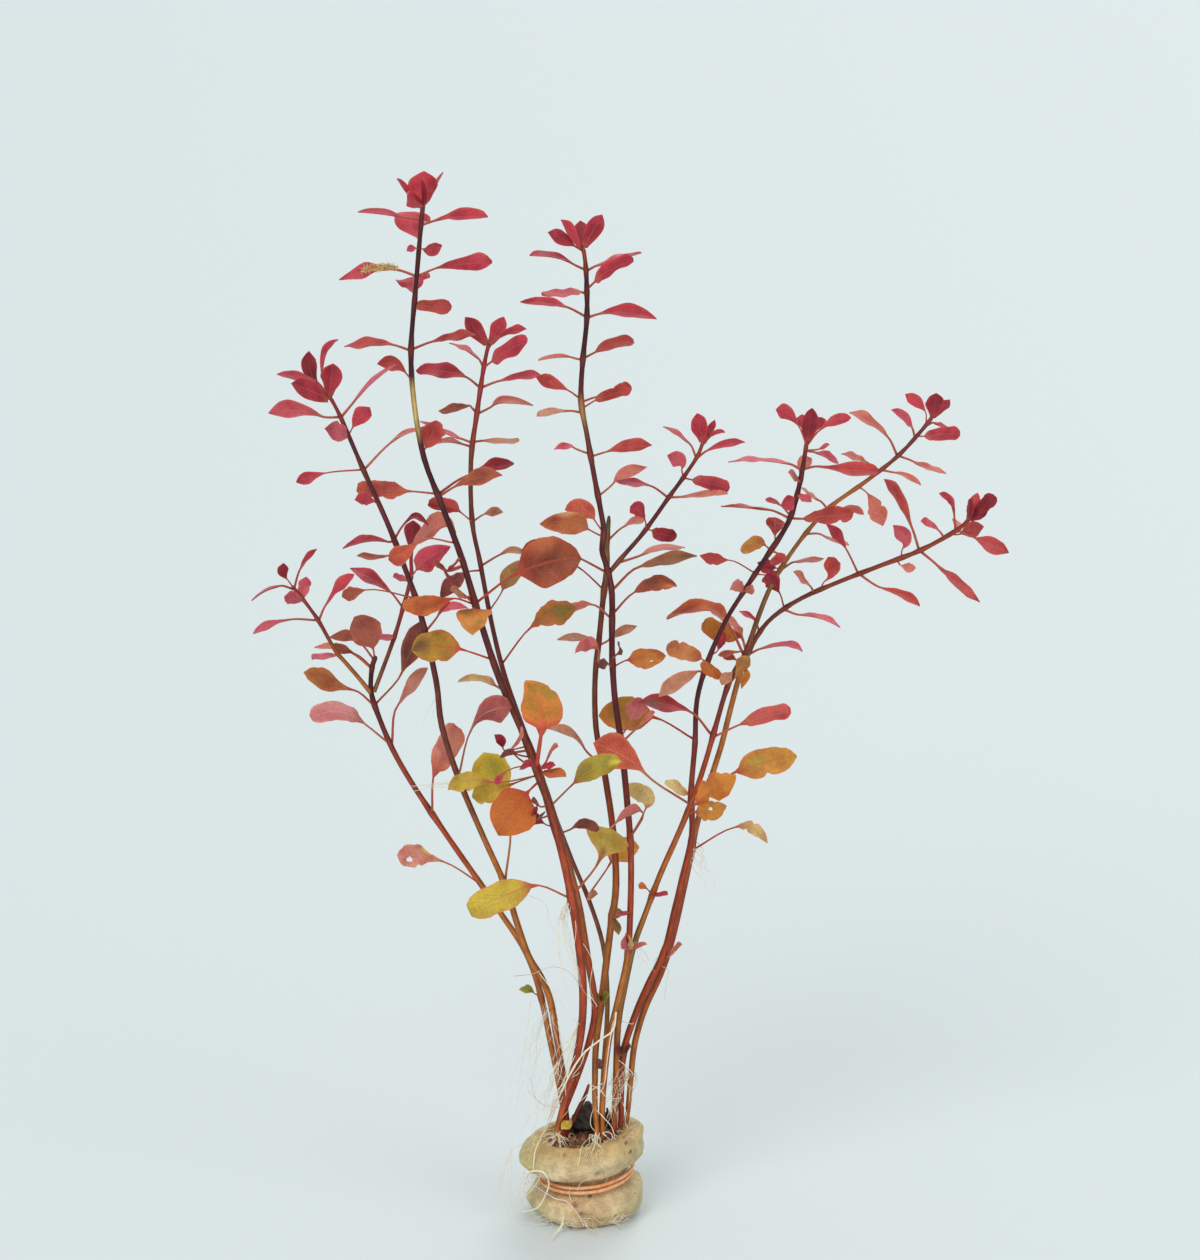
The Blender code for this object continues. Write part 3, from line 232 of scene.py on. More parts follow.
# Leaves with colours of their own, by name or by the sighting of their tip
LEAF_TONES = {
    "leaf_slit_red": Tone((192, 94, 68), (160, 64, 60), (206, 112, 92)),
    "leaf_bronze": Tone((172, 92, 64), (136, 66, 54), (196, 110, 82)),
    "leaf_salmon": Tone((198, 90, 64), (172, 70, 54), (214, 130, 104)),
    "leaf_brown_broad": Tone((142, 74, 46), (112, 56, 38), (196, 76, 58)),
    "leaf_heart": Tone((218, 150, 64), (196, 124, 50), (216, 118, 72)),
    "leaf_orange_left": Tone((196, 112, 58), (164, 84, 48), (204, 88, 66)),
    "leaf_olive_left": Tone((172, 138, 52), (142, 110, 42), (212, 92, 62)),
    "leaf_upright_orange": Tone((216, 138, 54), (184, 130, 54), (238, 96, 84)),
    "leaf_rust": Tone((204, 118, 44), (174, 90, 36), (210, 74, 56)),
    "leaf_yellow_broad": Tone((218, 194, 66), (188, 162, 52), (222, 182, 92)),
    "leaf_yellow_green": Tone((172, 160, 62), (142, 130, 50), (202, 150, 84)),
    "leaf_low_left": Tone((200, 180, 68), (172, 150, 54), (208, 124, 80)),
    "leaf_low_centre": Tone((200, 178, 82), (174, 146, 60), (208, 130, 84)),
    "leaf_tan_olive": Tone((172, 138, 80), (144, 110, 62), (194, 104, 80)),
    "leaf_olive_orange": Tone((180, 118, 60), (146, 110, 52), (206, 92, 68)),
    "leaf_mauve": Tone((186, 94, 90), (160, 76, 76), (204, 154, 120)),
    "leaf_far_left": Tone((190, 128, 72), (160, 96, 56), (206, 108, 86)),
    "leaf_dark_brown": Tone((126, 70, 58), (96, 52, 46), (166, 98, 72)),
    "leaf_pale_pink": Tone((218, 148, 146), (200, 120, 122), (228, 170, 158)),
    "leaf_pink_brown": Tone((194, 136, 118), (170, 106, 94), (208, 114, 100)),
    "leaf_over_stem": Tone((192, 126, 104), (168, 98, 84), (212, 104, 90)),
    "leaf_holed": Tone((214, 148, 132), (196, 118, 106), (220, 154, 118)),
    "leaf_behind_centre": Tone((208, 156, 68), (180, 126, 54), (208, 112, 78)),
    "leaf_olive_right": Tone((142, 98, 68), (110, 74, 54), (176, 108, 80)),
    "leaf_bronze_right": Tone((152, 82, 62), (122, 62, 50), (192, 102, 80)),
    "leaf_orange_right": Tone((198, 128, 60), (164, 98, 48), (208, 100, 70)),
    "leaf_pale_yellow": Tone((218, 200, 132), (198, 174, 102), (224, 164, 124)),
    "leaf_ragged_gold": Tone((206, 138, 58), (176, 106, 46), (208, 96, 66)),
    "leaf_gold_lobe": Tone((208, 146, 62), (176, 114, 50), (208, 106, 70)),
    "leaf_red_right": Tone((194, 88, 82), (166, 66, 66), (208, 126, 106)),
    "leaf_dark_crimson": Tone((158, 52, 62), (124, 38, 46), (178, 78, 72)),
    "leaf_tan": Tone((196, 146, 118), (170, 116, 92), (204, 120, 98)),
    "leaf_orange_oval": Tone((190, 136, 58), (158, 116, 50), (208, 94, 68)),
    "leaf_red_orange": Tone((198, 88, 64), (172, 68, 52), (224, 150, 118)),
    "leaf_low_right": Tone((212, 184, 120), (186, 152, 92), (226, 112, 96)),
    "leaf_gold_right": Tone((208, 156, 68), (180, 126, 56), (208, 118, 78)),
    (451, 546): Tone((198, 72, 92), (174, 54, 74), (208, 112, 110)),
    (354, 617): Tone((166, 96, 76), (136, 74, 60), (190, 106, 86)),
    (541, 525): Tone((188, 108, 64), (156, 78, 52), (204, 130, 96)),
    (565, 510): Tone((194, 96, 76), (170, 72, 62), (208, 124, 100)),
    (575, 652): Tone((224, 126, 120), (202, 96, 98), (224, 146, 130)),
    (641, 698): Tone((196, 110, 108), (172, 84, 88), (204, 146, 116)),
    (667, 648): Tone((198, 134, 82), (170, 104, 62), (208, 120, 86)),
    (747, 656): Tone((190, 140, 78), (158, 112, 60), (200, 120, 84)),
    (666, 616): Tone((198, 108, 62), (166, 80, 52), (206, 106, 82)),
    (742, 552): Tone((190, 138, 66), (160, 106, 52), (200, 110, 78)),
    (774, 566): Tone((178, 66, 60), (146, 46, 48), (196, 96, 78)),
    (652, 447): Tone((190, 88, 66), (160, 64, 54), (206, 128, 76)),
    (609, 826): Tone((216, 118, 108), (194, 92, 88), (222, 144, 124)),
    (441, 597): Tone((136, 72, 66), (104, 52, 50), (170, 94, 78)),
    (396, 361): Tone((176, 84, 82), (150, 64, 66), (190, 104, 96)),
    (879, 472): Tone((196, 70, 70), (168, 50, 56), (210, 108, 92)),
    (1009, 553): Tone((196, 76, 80), (170, 56, 62), (212, 116, 104)),
}

# The colour of each stem at picture rows, from the foot up
STEM_TONES = {
    "tallest_stem": ((1132, AMBER), (1096, BRICK), (860, BRICK), (820, RUSSET), (760, BROWN), (640, MAROON),
                     (460, BLACK), (440, MAROON), (428, YELLOW), (388, YELLOW), (380, BLACK), (222, BLACK),
                     (204, CRIMSON)),
    "second_stem": ((1120, BRICK), (1000, BRICK), (880, AMBER), (780, RUSSET), (600, MAROON), (470, BROWN),
                    (440, RUSSET), (400, CRIMSON), (343, CRIMSON)),
    "left_stem": ((1112, RUSSET), (1000, AMBER), (840, AMBER), (780, BROWN), (640, MAROON), (440, MAROON),
                  (397, CRIMSON)),
    "outer_left_stem": ((1112, AMBER), (900, AMBER), (850, BRICK), (760, RUSSET), (720, MAROON),
                        (656, BLACK)),
    "outer_left_branch": ((693, AMBER), (650, AMBER), (630, RUSSET), (586, CRIMSON)),
    "inner_left_branch": ((692, OLIVE), (664, BROWN), (640, RUSSET), (600, CRIMSON), (545, CRIMSON)),
    "thin_stem": ((1116, BRICK), (1000, OLIVE), (900, BROWN), (772, BROWN)),
    "cut_stem": ((1133, AMBER), (900, AMBER), (840, BRICK), (760, BROWN), (600, BROWN), (550, OLIVE),
                 (516, ROT)),
    "centre_stem": ((1133, AMBER), (960, AMBER), (930, BRICK), (840, BRICK), (760, MAROON), (480, MAROON),
                    (430, BROWN), (408, YELLOW), (400, OLIVE), (392, MAROON), (330, BLACK), (276, BLACK),
                    (262, RUSSET), (247, CRIMSON)),
    "centre_branch": ((573, BROWN), (540, MAROON), (476, MAROON), (458, RUSSET), (442, CRIMSON)),
    "crossing_stem": ((1126, BRICK), (1060, AMBER), (960, OLIVE), (900, AMBER), (760, BRICK), (650, MAROON),
                      (642, BROWN), (580, OLIVE), (545, AMBER), (486, AMBER), (468, RUSSET), (440, MAROON),
                      (413, CRIMSON)),
    "right_stem": ((1120, BRICK), (1057, BRICK), (1053, ROT), (1047, ROT), (1043, BRICK), (940, BRICK),
                   (780, RUSSET), (700, MAROON), (500, BLACK), (460, MAROON), (440, CRIMSON)),
    "far_right_stem": ((1118, AMBER), (1040, AMBER), (940, BRICK), (800, AMBER), (680, AMBER), (640, BROWN),
                       (610, BROWN), (590, RUSSET), (540, BRICK), (518, CRIMSON)),
    "red_sprout": ((1121, MAROON), (1084, RUSSET)),
}

# Leaf outlines: share of the full half width at shares of the blade's length
OUTLINES = {
    "lance": ((0.0, 0.10), (0.10, 0.24), (0.25, 0.52), (0.40, 0.80), (0.54, 0.97), (0.66, 1.0), (0.78, 0.86),
              (0.88, 0.54), (0.95, 0.26), (1.0, 0.03)),
    "crown": ((0.0, 0.40), (0.15, 0.58), (0.32, 0.80), (0.50, 0.97), (0.62, 1.0), (0.76, 0.86), (0.88, 0.52),
              (0.95, 0.24), (1.0, 0.03)),
    "oval": ((0.0, 0.10), (0.09, 0.40), (0.24, 0.82), (0.44, 1.0), (0.66, 0.96), (0.84, 0.70), (0.95, 0.36),
             (1.0, 0.04)),
    "spoon": ((0.0, 0.08), (0.14, 0.16), (0.30, 0.40), (0.46, 0.74), (0.60, 0.96), (0.72, 1.0), (0.84, 0.88),
              (0.93, 0.58), (0.98, 0.28), (1.0, 0.05)),
    "heart": ((0.0, 0.30), (0.06, 0.76), (0.18, 0.98), (0.35, 1.0), (0.55, 0.90), (0.75, 0.66), (0.90, 0.36),
              (1.0, 0.04)),
    "strap": ((0.0, 0.40), (0.10, 0.78), (0.30, 0.92), (0.60, 1.0), (0.85, 0.98), (0.95, 0.74), (1.0, 0.34)),
    "paddle": ((0.0, 0.14), (0.20, 0.36), (0.45, 0.62), (0.65, 0.78), (0.80, 1.0), (0.90, 0.86), (1.0, 0.14)),
    "wedge": ((0.0, 0.50), (0.10, 0.62), (0.40, 0.72), (0.65, 0.86), (0.80, 1.0), (0.92, 0.86), (1.0, 0.30)),
    "fan": ((0.0, 0.08), (0.20, 0.32), (0.40, 0.60), (0.60, 0.86), (0.75, 1.0), (0.88, 0.88), (0.96, 0.60),
            (1.0, 0.30)),
    "blunt": ((0.0, 0.16), (0.10, 0.42), (0.28, 0.84), (0.50, 1.0), (0.76, 0.96), (0.92, 0.76), (1.0, 0.40)),
}
# Small leaves whose outline is plain to see, by the sighting of their tip
SHAPES = {
    (450, 307): "wedge", (519, 442): "strap", (632, 259): "strap", (543, 293): "strap", (729, 489): "strap",
    (677, 536): "strap", (853, 517): "strap", (960, 433): "strap", (527, 342): "strap", (704, 622): "strap",
    (667, 648): "strap", (701, 664): "blunt", (667, 782): "blunt", (458, 681): "strap",
    (492, 262): "paddle", (344, 346): "lance", (415, 368): "oval", (634, 341): "strap", (429, 504): "blunt",
    (436, 420): "oval", (419, 212): "fan", (414, 275): "fan", (442, 245): "lance", (575, 652): "blunt",
    (354, 617): "oval", (451, 546): "heart", (641, 698): "oval", (609, 826): "blunt", (565, 510): "oval",
    (441, 597): "oval", (598, 831): "blunt", (879, 472): "spoon", (712, 612): "strap", (742, 552): "blunt",
    (774, 566): "blunt", (995, 496): "wedge", (562, 1128): "lance",
}

# What sets single leaves apart: the outline, how ragged the edge is, how deep the blade is cupped,
# how wavy its edge is, holes as (along, across, radius), stains as (along, across, radius, colour),
# and how stout its petiole is
Look = namedtuple("Look", "outline ragged cup wave holes stains stalk", defaults=((), (), 1.0))
LOOKS = {
    (666, 616): Look("blunt", 0.10, 0.35, 0.15, (), ((0.95, 0.0, 0.34, (158, 70, 70)),)),
    (652, 447): Look("lance", 0.05, 0.25, 0.10, (), ((0.92, -0.3, 0.18, (204, 146, 76)),)),
    (541, 525): Look("oval", 0.06, 0.30, 0.12, (), ((0.60, 0.9, 0.24, (222, 164, 122)),)),
    (632, 388): Look("wedge", 0.12, 0.35, 0.15),
    "leaf_slit_red": Look("blunt", 0.15, 0.10, 0.20),
    "leaf_bronze": Look("lance", 0.10, 0.20, 0.12),
    "leaf_salmon": Look("spoon", 0.05, 0.30, 0.06),
    "leaf_brown_broad": Look("oval", 0.05, 0.20, 0.08, (), ((0.5, 0.9, 0.26, (180, 104, 72)),)),
    "leaf_heart": Look("heart", 0.03, 0.15, 0.04, (),
                       ((0.30, 0.5, 0.14, (150, 134, 58)), (0.62, -0.4, 0.12, (158, 134, 56)))),
    "leaf_orange_left": Look("blunt", 0.08, 0.30, 0.10),
    "leaf_olive_left": Look("oval", 0.04, 0.20, 0.05, (), ((0.86, 0.2, 0.30, (112, 84, 50)),)),
    "leaf_upright_orange": Look("heart", 0.06, 0.22, 0.05, (),
                                ((0.62, 0.7, 0.20, (160, 132, 56)), (0.85, 0.0, 0.16, (166, 130, 56))),
                                1.9),
    "leaf_rust": Look("oval", 0.05, 0.10, 0.06, (), ((0.60, 0.0, 0.50, (194, 110, 46)),)),
    "leaf_yellow_broad": Look("spoon", 0.05, 0.15, 0.12, (), ((0.75, 0.3, 0.25, (178, 166, 58)),)),
    "leaf_yellow_green": Look("oval", 0.05, 0.25, 0.08, (),
                              ((0.92, 0.0, 0.22, (218, 200, 76)), (0.2, 0.4, 0.3, (146, 136, 66)))),
    "leaf_low_left": Look("blunt", 0.05, 0.15, 0.06),
    "leaf_low_centre": Look("spoon", 0.05, 0.20, 0.08, (), ((0.20, 0.0, 0.20, (158, 116, 64)),)),
    "leaf_tan_olive": Look("oval", 0.05, 0.30, 0.08),
    "leaf_olive_orange": Look("lance", 0.20, 0.30, 0.15, (), ((0.75, 0.0, 0.30, (134, 120, 56)),)),
    "leaf_mauve": Look("spoon", 0.03, 0.15, 0.05),
    "leaf_far_left": Look("spoon", 0.05, 0.25, 0.10),
    "leaf_dark_brown": Look("lance", 0.05, 0.20, 0.08),
    "leaf_pale_pink": Look("strap", 0.05, 0.20, 0.10),
    "leaf_pink_brown": Look("spoon", 0.03, 0.35, 0.05),
    "leaf_over_stem": Look("strap", 0.05, 0.20, 0.05),
    "leaf_holed": Look("spoon", 0.20, 0.15, 0.15, ((0.72, -0.35, 0.07),),
                       ((0.40, 0.8, 0.14, (220, 186, 80)),)),
    "leaf_behind_centre": Look("oval", 0.05, 0.15, 0.05),
    "leaf_olive_right": Look("lance", 0.06, 0.25, 0.08),
    "leaf_bronze_right": Look("oval", 0.22, 0.25, 0.15, (), ((0.85, -0.3, 0.30, (208, 122, 66)),)),
    "leaf_orange_right": Look("oval", 0.14, 0.15, 0.10, ((0.66, -0.4, 0.035),)),
    "leaf_pale_yellow": Look("oval", 0.05, 0.20, 0.05),
    "leaf_ragged_gold": Look("oval", 0.35, 0.10, 0.12),
    "leaf_gold_lobe": Look("oval", 0.25, 0.10, 0.10, ((0.55, 0.2, 0.07),)),
    "leaf_red_right": Look("strap", 0.05, 0.20, 0.08),
    "leaf_dark_crimson": Look("lance", 0.12, 0.20, 0.12, (), ((0.75, 0.0, 0.22, GREY_ROT),)),
    "leaf_tan": Look("lance", 0.05, 0.35, 0.05),
    "leaf_orange_oval": Look("oval", 0.04, 0.20, 0.05, (), ((0.55, 0.6, 0.30, (160, 128, 56)),)),
    "leaf_red_orange": Look("spoon", 0.05, 0.20, 0.06),
    "leaf_low_right": Look("lance", 0.25, 0.20, 0.15),
    "leaf_gold_right": Look("oval", 0.20, 0.15, 0.12, (), ((0.35, 0.2, 0.20, (186, 168, 76)),)),
}

# Foam rings from the underside up, over the torn rim and down into the mouth: height, half width,
# half depth and shift, in millimetres, then the rise to the right, the rise to the back and the lumps
PLUG_RINGS = (
    (0.0, 9.6, 9.4, 0.1, 0.0, 0.0, 0.0),
    (0.9, 12.3, 11.4, 0.1, 0.0, 0.0, 0.015),
    (3.6, 14.0, 12.5, 0.2, 0.03, 0.0, 0.025),
    (6.5, 13.5, 12.0, 0.4, 0.08, 0.0, 0.02),
    (8.8, 9.9, 9.3, 0.5, 0.11, 0.0, 0.0),
    (11.6, 9.9, 9.3, 0.5, 0.11, 0.0, 0.0),
    (13.4, 13.3, 11.6, -0.2, 0.11, 0.01, 0.015),
    (15.7, 14.9, 12.6, -0.6, 0.12, 0.01, 0.025),
    (17.9, 14.8, 12.4, -0.5, 0.14, 0.03, 0.02),
    (19.7, 13.3, 10.8, 0.2, 0.15, 0.04, 0.01),
    (20.6, 10.6, 8.7, 0.1, 0.13, 0.02, 0.02),
    (20.2, 9.3, 7.8, -0.4, 0.10, 0.01, 0.03),
    (18.8, 8.4, 6.9, -0.5, 0.04, 0.0, 0.0),
)
# Specks on the front: across and height in millimetres, radius, colour
FOAM_SPECKS = (
    (1.2, 8.4, 0.5, SOOT), (-2.3, 6.6, 0.8, RUST), (-0.8, 5.0, 0.6, RUST), (-4.9, 18.9, 0.5, RUST),
    (11.0, 19.0, 0.5, SOOT), (9.9, 21.0, 0.5, SOOT), (-14.4, 17.0, 0.5, SOOT), (7.4, 3.6, 0.5, RUST),
    (12.9, 13.0, 0.5, RUST), (3.0, 15.4, 0.9, FOAM_SHADE), (-8.8, 12.9, 0.9, FOAM_SHADE),
)

# Rotted stubs: centre, half sizes and lean to the right, in millimetres
ROTTED_STUBS = ((-0.1, 3.0, 23.1, 2.9, 2.6, 4.3, 0.9), (5.5, 3.4, 21.8, 1.3, 1.4, 3.6, -0.1))

Leaf = namedtuple("Leaf", "base neck middle tip seen near tone name")
Shoot = namedtuple("Shoot", "name path depths widths rooted leaves")


def mix(first, second, share):
    return tuple(a + (b - a) * share for a, b in zip(first, second))


def blade(base, neck, middle, tip, seen, near, tone, name=""):
    """A leaf from its base on the stem, through the petiole's end and the blade's middle, to its tip.

    seen is its width in the picture in pixels, near how far its tip comes forward, as a share of
    the leaves' usual reach from front to back.
    """
    return Leaf(base, neck, middle, tip, seen, near, tone, name)


def sprig(base, tip, seen, near, tone):
    """A small straight leaf of a shoot's crown."""
    neck = mix(base, tip, SPRIG_NECK)
    middle = mix(base, tip, SPRIG_MIDDLE)
    return Leaf(base, neck, middle, tip, seen, near, tone, "crown")


def shoot(name, path, depths, widths, rooted, *leaves):
    """A shoot from its foot up: its path in the picture, its depths at picture rows in millimetres,
    its widths in pixels along the path, whether it stands in the plug, and its leaves.
    """
    return Shoot(name, path, depths, widths, rooted, leaves)


SHOOTS = (
    shoot(
        "tallest_stem",
        ((557, 1132), (568, 1090), (580, 1040), (583, 990), (577, 930), (566, 870), (551, 812),
         (528, 745), (500, 680), (480, 620), (463, 562), (443, 508), (424, 458), (414, 402),
         (411, 349), (416, 285), (421, 225), (424, 196)),
        ((1132, -4.0), (1090, -5.0), (1040, -7.0), (1000, -8.5), (800, -11.5), (600, -14.0),
         (400, -15.0), (196, -13.0)),
        (6, 7, 7.5, 8, 8.3, 8, 7.6, 7, 6.5, 6, 5.6, 5.3, 5, 4.8, 4.7, 4.2, 3.8, 3),
        True,
        sprig((423, 204), (424, 171), 27, -1, "crimson"),
        sprig((421, 206), (396, 179), 6, 2, "crimson"),
        sprig((422, 206), (407, 195), 10, 5, "crimson"),
        sprig((425, 204), (441, 171), 4, -2, "crimson"),
        sprig((424, 205), (425, 178), 6, 4, "maroon"),
        blade((423, 224), (434, 220), (455, 217), (488, 218), 9, 2, "crimson"),
        blade((421, 218), (402, 216), (385, 213), (358, 210), 7, -2, "crimson"),
        blade((420, 245), (417, 236), (411, 224), (419, 212), 34, -5, "crimson"),
        blade((419, 249), (423, 249), (431, 250), (442, 245), 11, 4, "crimson"),
        blade((419, 249), (416, 248), (412, 248), (407, 251), 4, 3, "pink"),
        blade((416, 275), (398, 269), (372, 269), (338, 278), 8, -2, "crimson"),
        blade((419, 276), (440, 267), (462, 264), (492, 262), 18, 2, "crimson"),
        blade((415, 299), (414, 292), (413, 284), (414, 275), 34, -5, "crimson"),
        blade((414, 305), (417, 305), (432, 306), (450, 307), 13, 3, "red"),
        blade((409, 350), (392, 344), (370, 343), (344, 346), 12, -3, "red"),
        blade((414, 349), (432, 341), (452, 337), (475, 333), 9, 2, "red"),
        blade((411, 381), (406, 373), (394, 364), (378, 364), 13, 3, "red"),
        blade((425, 452), (426, 447), (431, 436), (436, 420), 24, -4, "red"),
        blade((434, 495), (407, 491), (384, 490), (357, 487), 18, -1, "red", "leaf_slit_red"),
        blade((439, 496), (455, 486), (476, 478), (501, 473), 15, 3, "salmon", "leaf_bronze"),
        blade((441, 492), (465, 476), (490, 468), (514, 461), 11, -5, "maroon"),
        blade((456, 543), (420, 541), (404, 552), (389, 560), 20, 5, "salmon", "leaf_salmon"),
        blade((456, 541), (455, 530), (439, 526), (414, 545), 14, -6, "salmon"),
        blade((477, 603), (518, 573), (550, 562), (580, 558), 45, 4, "brown", "leaf_brown_broad"),
        blade((475, 606), (474, 609), (474, 620), (473, 637), 32, 8, "orange", "leaf_heart"),
        blade((473, 605), (450, 599), (425, 606), (403, 605), 18, 3, "orange", "leaf_orange_left"),
        blade((474, 603), (462, 592), (452, 582), (446, 570), 3, 2, "maroon"),
        sprig((447, 571), (433, 561), 6, 3, "brown"),
        sprig((447, 571), (460, 558), 5, 3, "red"),
        sprig((466, 597), (450, 590), 5, 5, "tan"),
        blade((490, 661), (460, 649), (437, 646), (412, 650), 31, 3, "olive", "leaf_olive_left"),
        blade((499, 692), (494, 684), (478, 679), (458, 681), 8, -1, "straw"),
        blade((538, 768), (542, 727), (540, 702), (525, 677), 38, 4, "orange", "leaf_upright_orange"),
        blade((541, 780), (527, 793), (514, 810), (500, 834), 44, 7, "orange", "leaf_rust"),
        blade((534, 776), (515, 783), (495, 790), (472, 797), 22, 2, "yellow"),
        blade((534, 777), (490, 782), (468, 781), (448, 790), 20, 4, "yellow"),
        blade((537, 770), (533, 766), (527, 765), (520, 766), 14, 5, "crimson"),
        sprig((540, 767), (555, 765), 5, 3, "crimson"),
        sprig((541, 772), (565, 774), 7, 5, "orange"),
        blade((536, 768), (516, 755), (514, 753), (510, 750), 2, 2, "umber"),
        blade((512, 752), (503, 748), (502, 742), (495, 735), 10, 2, "maroon"),
        blade((524, 760), (516, 753), (510, 752), (500, 757), 6, 3, "umber"),
        blade((516, 754), (512, 750), (520, 738), (522, 727), 3, 3, "salmon"),
        sprig((503, 774), (495, 784), 8, 6, "crimson"),
        blade((540, 770), (546, 760), (551, 750), (557, 745), 3, 3, "salmon"),
        blade((551, 828), (545, 824), (538, 820), (528, 817), 10, 4, "maroon"),
        sprig((537, 818), (534, 807), 7, 5, "maroon"),
        sprig((537, 819), (545, 812), 5, 5, "umber"),
        blade((546, 806), (540, 806), (536, 803), (531, 800), 4, 4, "brown"),
        blade((550, 807), (574, 783), (597, 767), (622, 762), 22, 3, "yellow", "leaf_yellow_green"),
        blade((560, 833), (572, 828), (585, 824), (598, 831), 9, 2, "umber"),
        blade((568, 899), (531, 886), (503, 896), (469, 911), 30, 4, "yellow", "leaf_low_left"),
        blade((577, 896), (600, 859), (606, 844), (612, 829), 45, -3, "yellow", "leaf_low_centre"),
    ),
    shoot(
        "second_stem",
        ((562, 1120), (577, 1078), (590, 1038), (595, 1005), (588, 960), (578, 900), (563, 845),
         (547, 793), (520, 720), (503, 670), (491, 620), (480, 562), (472, 520), (471, 460),
         (477, 413), (484, 366), (489, 343)),
        ((1120, -1.2), (1078, -2.5), (1040, -4.0), (1000, -4.6), (900, -5.5), (768, -6.5),
         (600, -4.0), (400, 0.0), (343, 2.0)),
        (5.5, 6, 6.5, 6.8, 6.8, 6.5, 6, 5.6, 5, 4.6, 4.4, 4.2, 4.3, 4.6, 4.3, 3.8, 3),
        True,
        sprig((488, 346), (465, 317), 15, 1, "crimson"),
        sprig((490, 345), (504, 317), 15, -2, "crimson"),
        blade((490, 347), (496, 338), (510, 332), (526, 328), 6, 2, "crimson"),
        blade((486, 367), (493, 360), (508, 350), (527, 342), 15, 5, "crimson"),
        blade((483, 366), (479, 358), (465, 349), (449, 344), 5, -3, "pink"),
        blade((479, 387), (465, 376), (440, 370), (415, 368), 14, -3, "crimson"),
        blade((483, 387), (500, 380), (520, 377), (541, 375), 8, 2, "pink"),
        blade((476, 412), (468, 405), (455, 409), (438, 410), 8, -4, "brown"),
        blade((479, 413), (492, 405), (505, 402), (533, 406), 4, -3, "salmon"),
        blade((475, 441), (486, 440), (503, 442), (519, 442), 5, 2, "tan"),
        blade((473, 442), (462, 438), (446, 432), (421, 420), 4, 1, "pink"),
        blade((473, 446), (462, 443), (445, 441), (428, 446), 4, -4, "salmon"),
        blade((475, 521), (484, 514), (492, 512), (503, 512), 8, 3, "tan"),
        blade((472, 522), (459, 511), (448, 506), (429, 504), 15, 4, "red"),
        blade((482, 565), (500, 554), (515, 551), (530, 557), 8, -2, "tan"),
        blade((481, 570), (465, 573), (453, 583), (441, 597), 14, 5, "umber"),
        blade((490, 611), (503, 589), (511, 575), (527, 560), 18, 3, "olive", "leaf_tan_olive"),
        blade((503, 664), (531, 627), (551, 614), (578, 607), 26, 3, "olive", "leaf_olive_orange"),
    ),
    shoot(
        "left_stem",
        ((566, 1112), (564, 1080), (557, 1040), (551, 1003), (541, 977), (528, 955), (516, 920),
         (505, 885), (483, 836), (460, 782), (442, 727), (436, 680), (420, 612), (403, 563),
         (387, 522), (363, 469), (341, 418), (330, 397)),
        ((1112, 1.5), (1000, -1.0), (950, -3.0), (800, -10.0), (600, -16.0), (397, -20.0)),
        (5.5, 6, 6.5, 6.8, 6.8, 6.6, 6.3, 6, 5.8, 5.8, 5.7, 5.6, 5.2, 5, 4.8, 4.2, 3.6, 3),
        True,
        blade((329, 398), (319, 386), (310, 370), (309, 351), 15, -2, "maroon"),
        blade((330, 399), (313, 379), (296, 376), (277, 375), 9, 1, "crimson"),
        blade((330, 398), (321, 372), (326, 351), (338, 339), 7, -4, "crimson"),
        sprig((329, 397), (333, 362), 19, 3, "crimson"),
        sprig((330, 399), (294, 383), 12, 6, "crimson"),
        blade((339, 417), (322, 416), (295, 410), (268, 412), 14, 1, "pink"),
        blade((341, 416), (354, 400), (372, 380), (394, 361), 7, 2, "pink"),
        blade((349, 435), (353, 427), (360, 417), (370, 406), 17, -4, "crimson"),
        sprig((349, 434), (328, 429), 9, 6, "pink"),
        blade((362, 470), (325, 473), (309, 477), (296, 482), 11, 2, "crimson"),
        blade((363, 469), (390, 442), (405, 433), (424, 428), 3, -5, "salmon"),
        blade((379, 504), (375, 502), (366, 499), (355, 500), 11, 4, "crimson"),
        blade((394, 540), (388, 541), (368, 540), (342, 547), 9, -2, "crimson"),
        blade((395, 538), (403, 524), (415, 517), (428, 525), 5, -3, "maroon"),
        blade((400, 557), (388, 555), (372, 557), (358, 554), 7, 3, "brown"),
        blade((416, 598), (365, 590), (352, 593), (342, 597), 14, 2, "brown"),
        blade((431, 630), (437, 616), (448, 607), (468, 606), 9, 2, "pink"),
        blade((460, 777), (472, 728), (487, 712), (511, 708), 27, 3, "pink", "leaf_mauve"),
        blade((507, 884), (508, 815), (497, 785), (484, 752), 40, 0, "yellow", "leaf_yellow_broad"),
    ),
    shoot(
        "outer_left_stem",
        ((564, 1112), (558, 1078), (550, 1040), (543, 1005), (534, 972), (522, 945), (502, 915),
         (478, 880), (450, 840), (415, 788), (393, 750), (377, 712), (371, 690), (372, 668), (376, 656)),
        ((1112, 4.8), (1000, 3.0), (950, 1.0), (800, 2.0), (656, 6.0)),
        (5.5, 6, 6, 6, 6, 6, 5.8, 5.7, 5.6, 5.4, 5.2, 5.2, 4.8, 4.2, 3.5),
        True,
        blade((376, 706), (354, 690), (330, 683), (306, 671), 19, 4, "orange", "leaf_far_left"),
        blade((377, 704), (402, 672), (411, 650), (424, 619), 22, -1, "umber", "leaf_dark_brown"),
        blade((375, 660), (373, 648), (366, 632), (354, 617), 30, -2, "brown"),
        blade((375, 660), (361, 643), (348, 637), (330, 638), 10, -3, "brown"),
        blade((371, 667), (356, 654), (345, 650), (331, 645), 10, -1, "brown"),
        blade((371, 667), (352, 652), (338, 648), (314, 646), 4, -3, "salmon"),
        blade((386, 746), (358, 719), (335, 711), (311, 718), 18, 4, "pink", "leaf_pale_pink"),
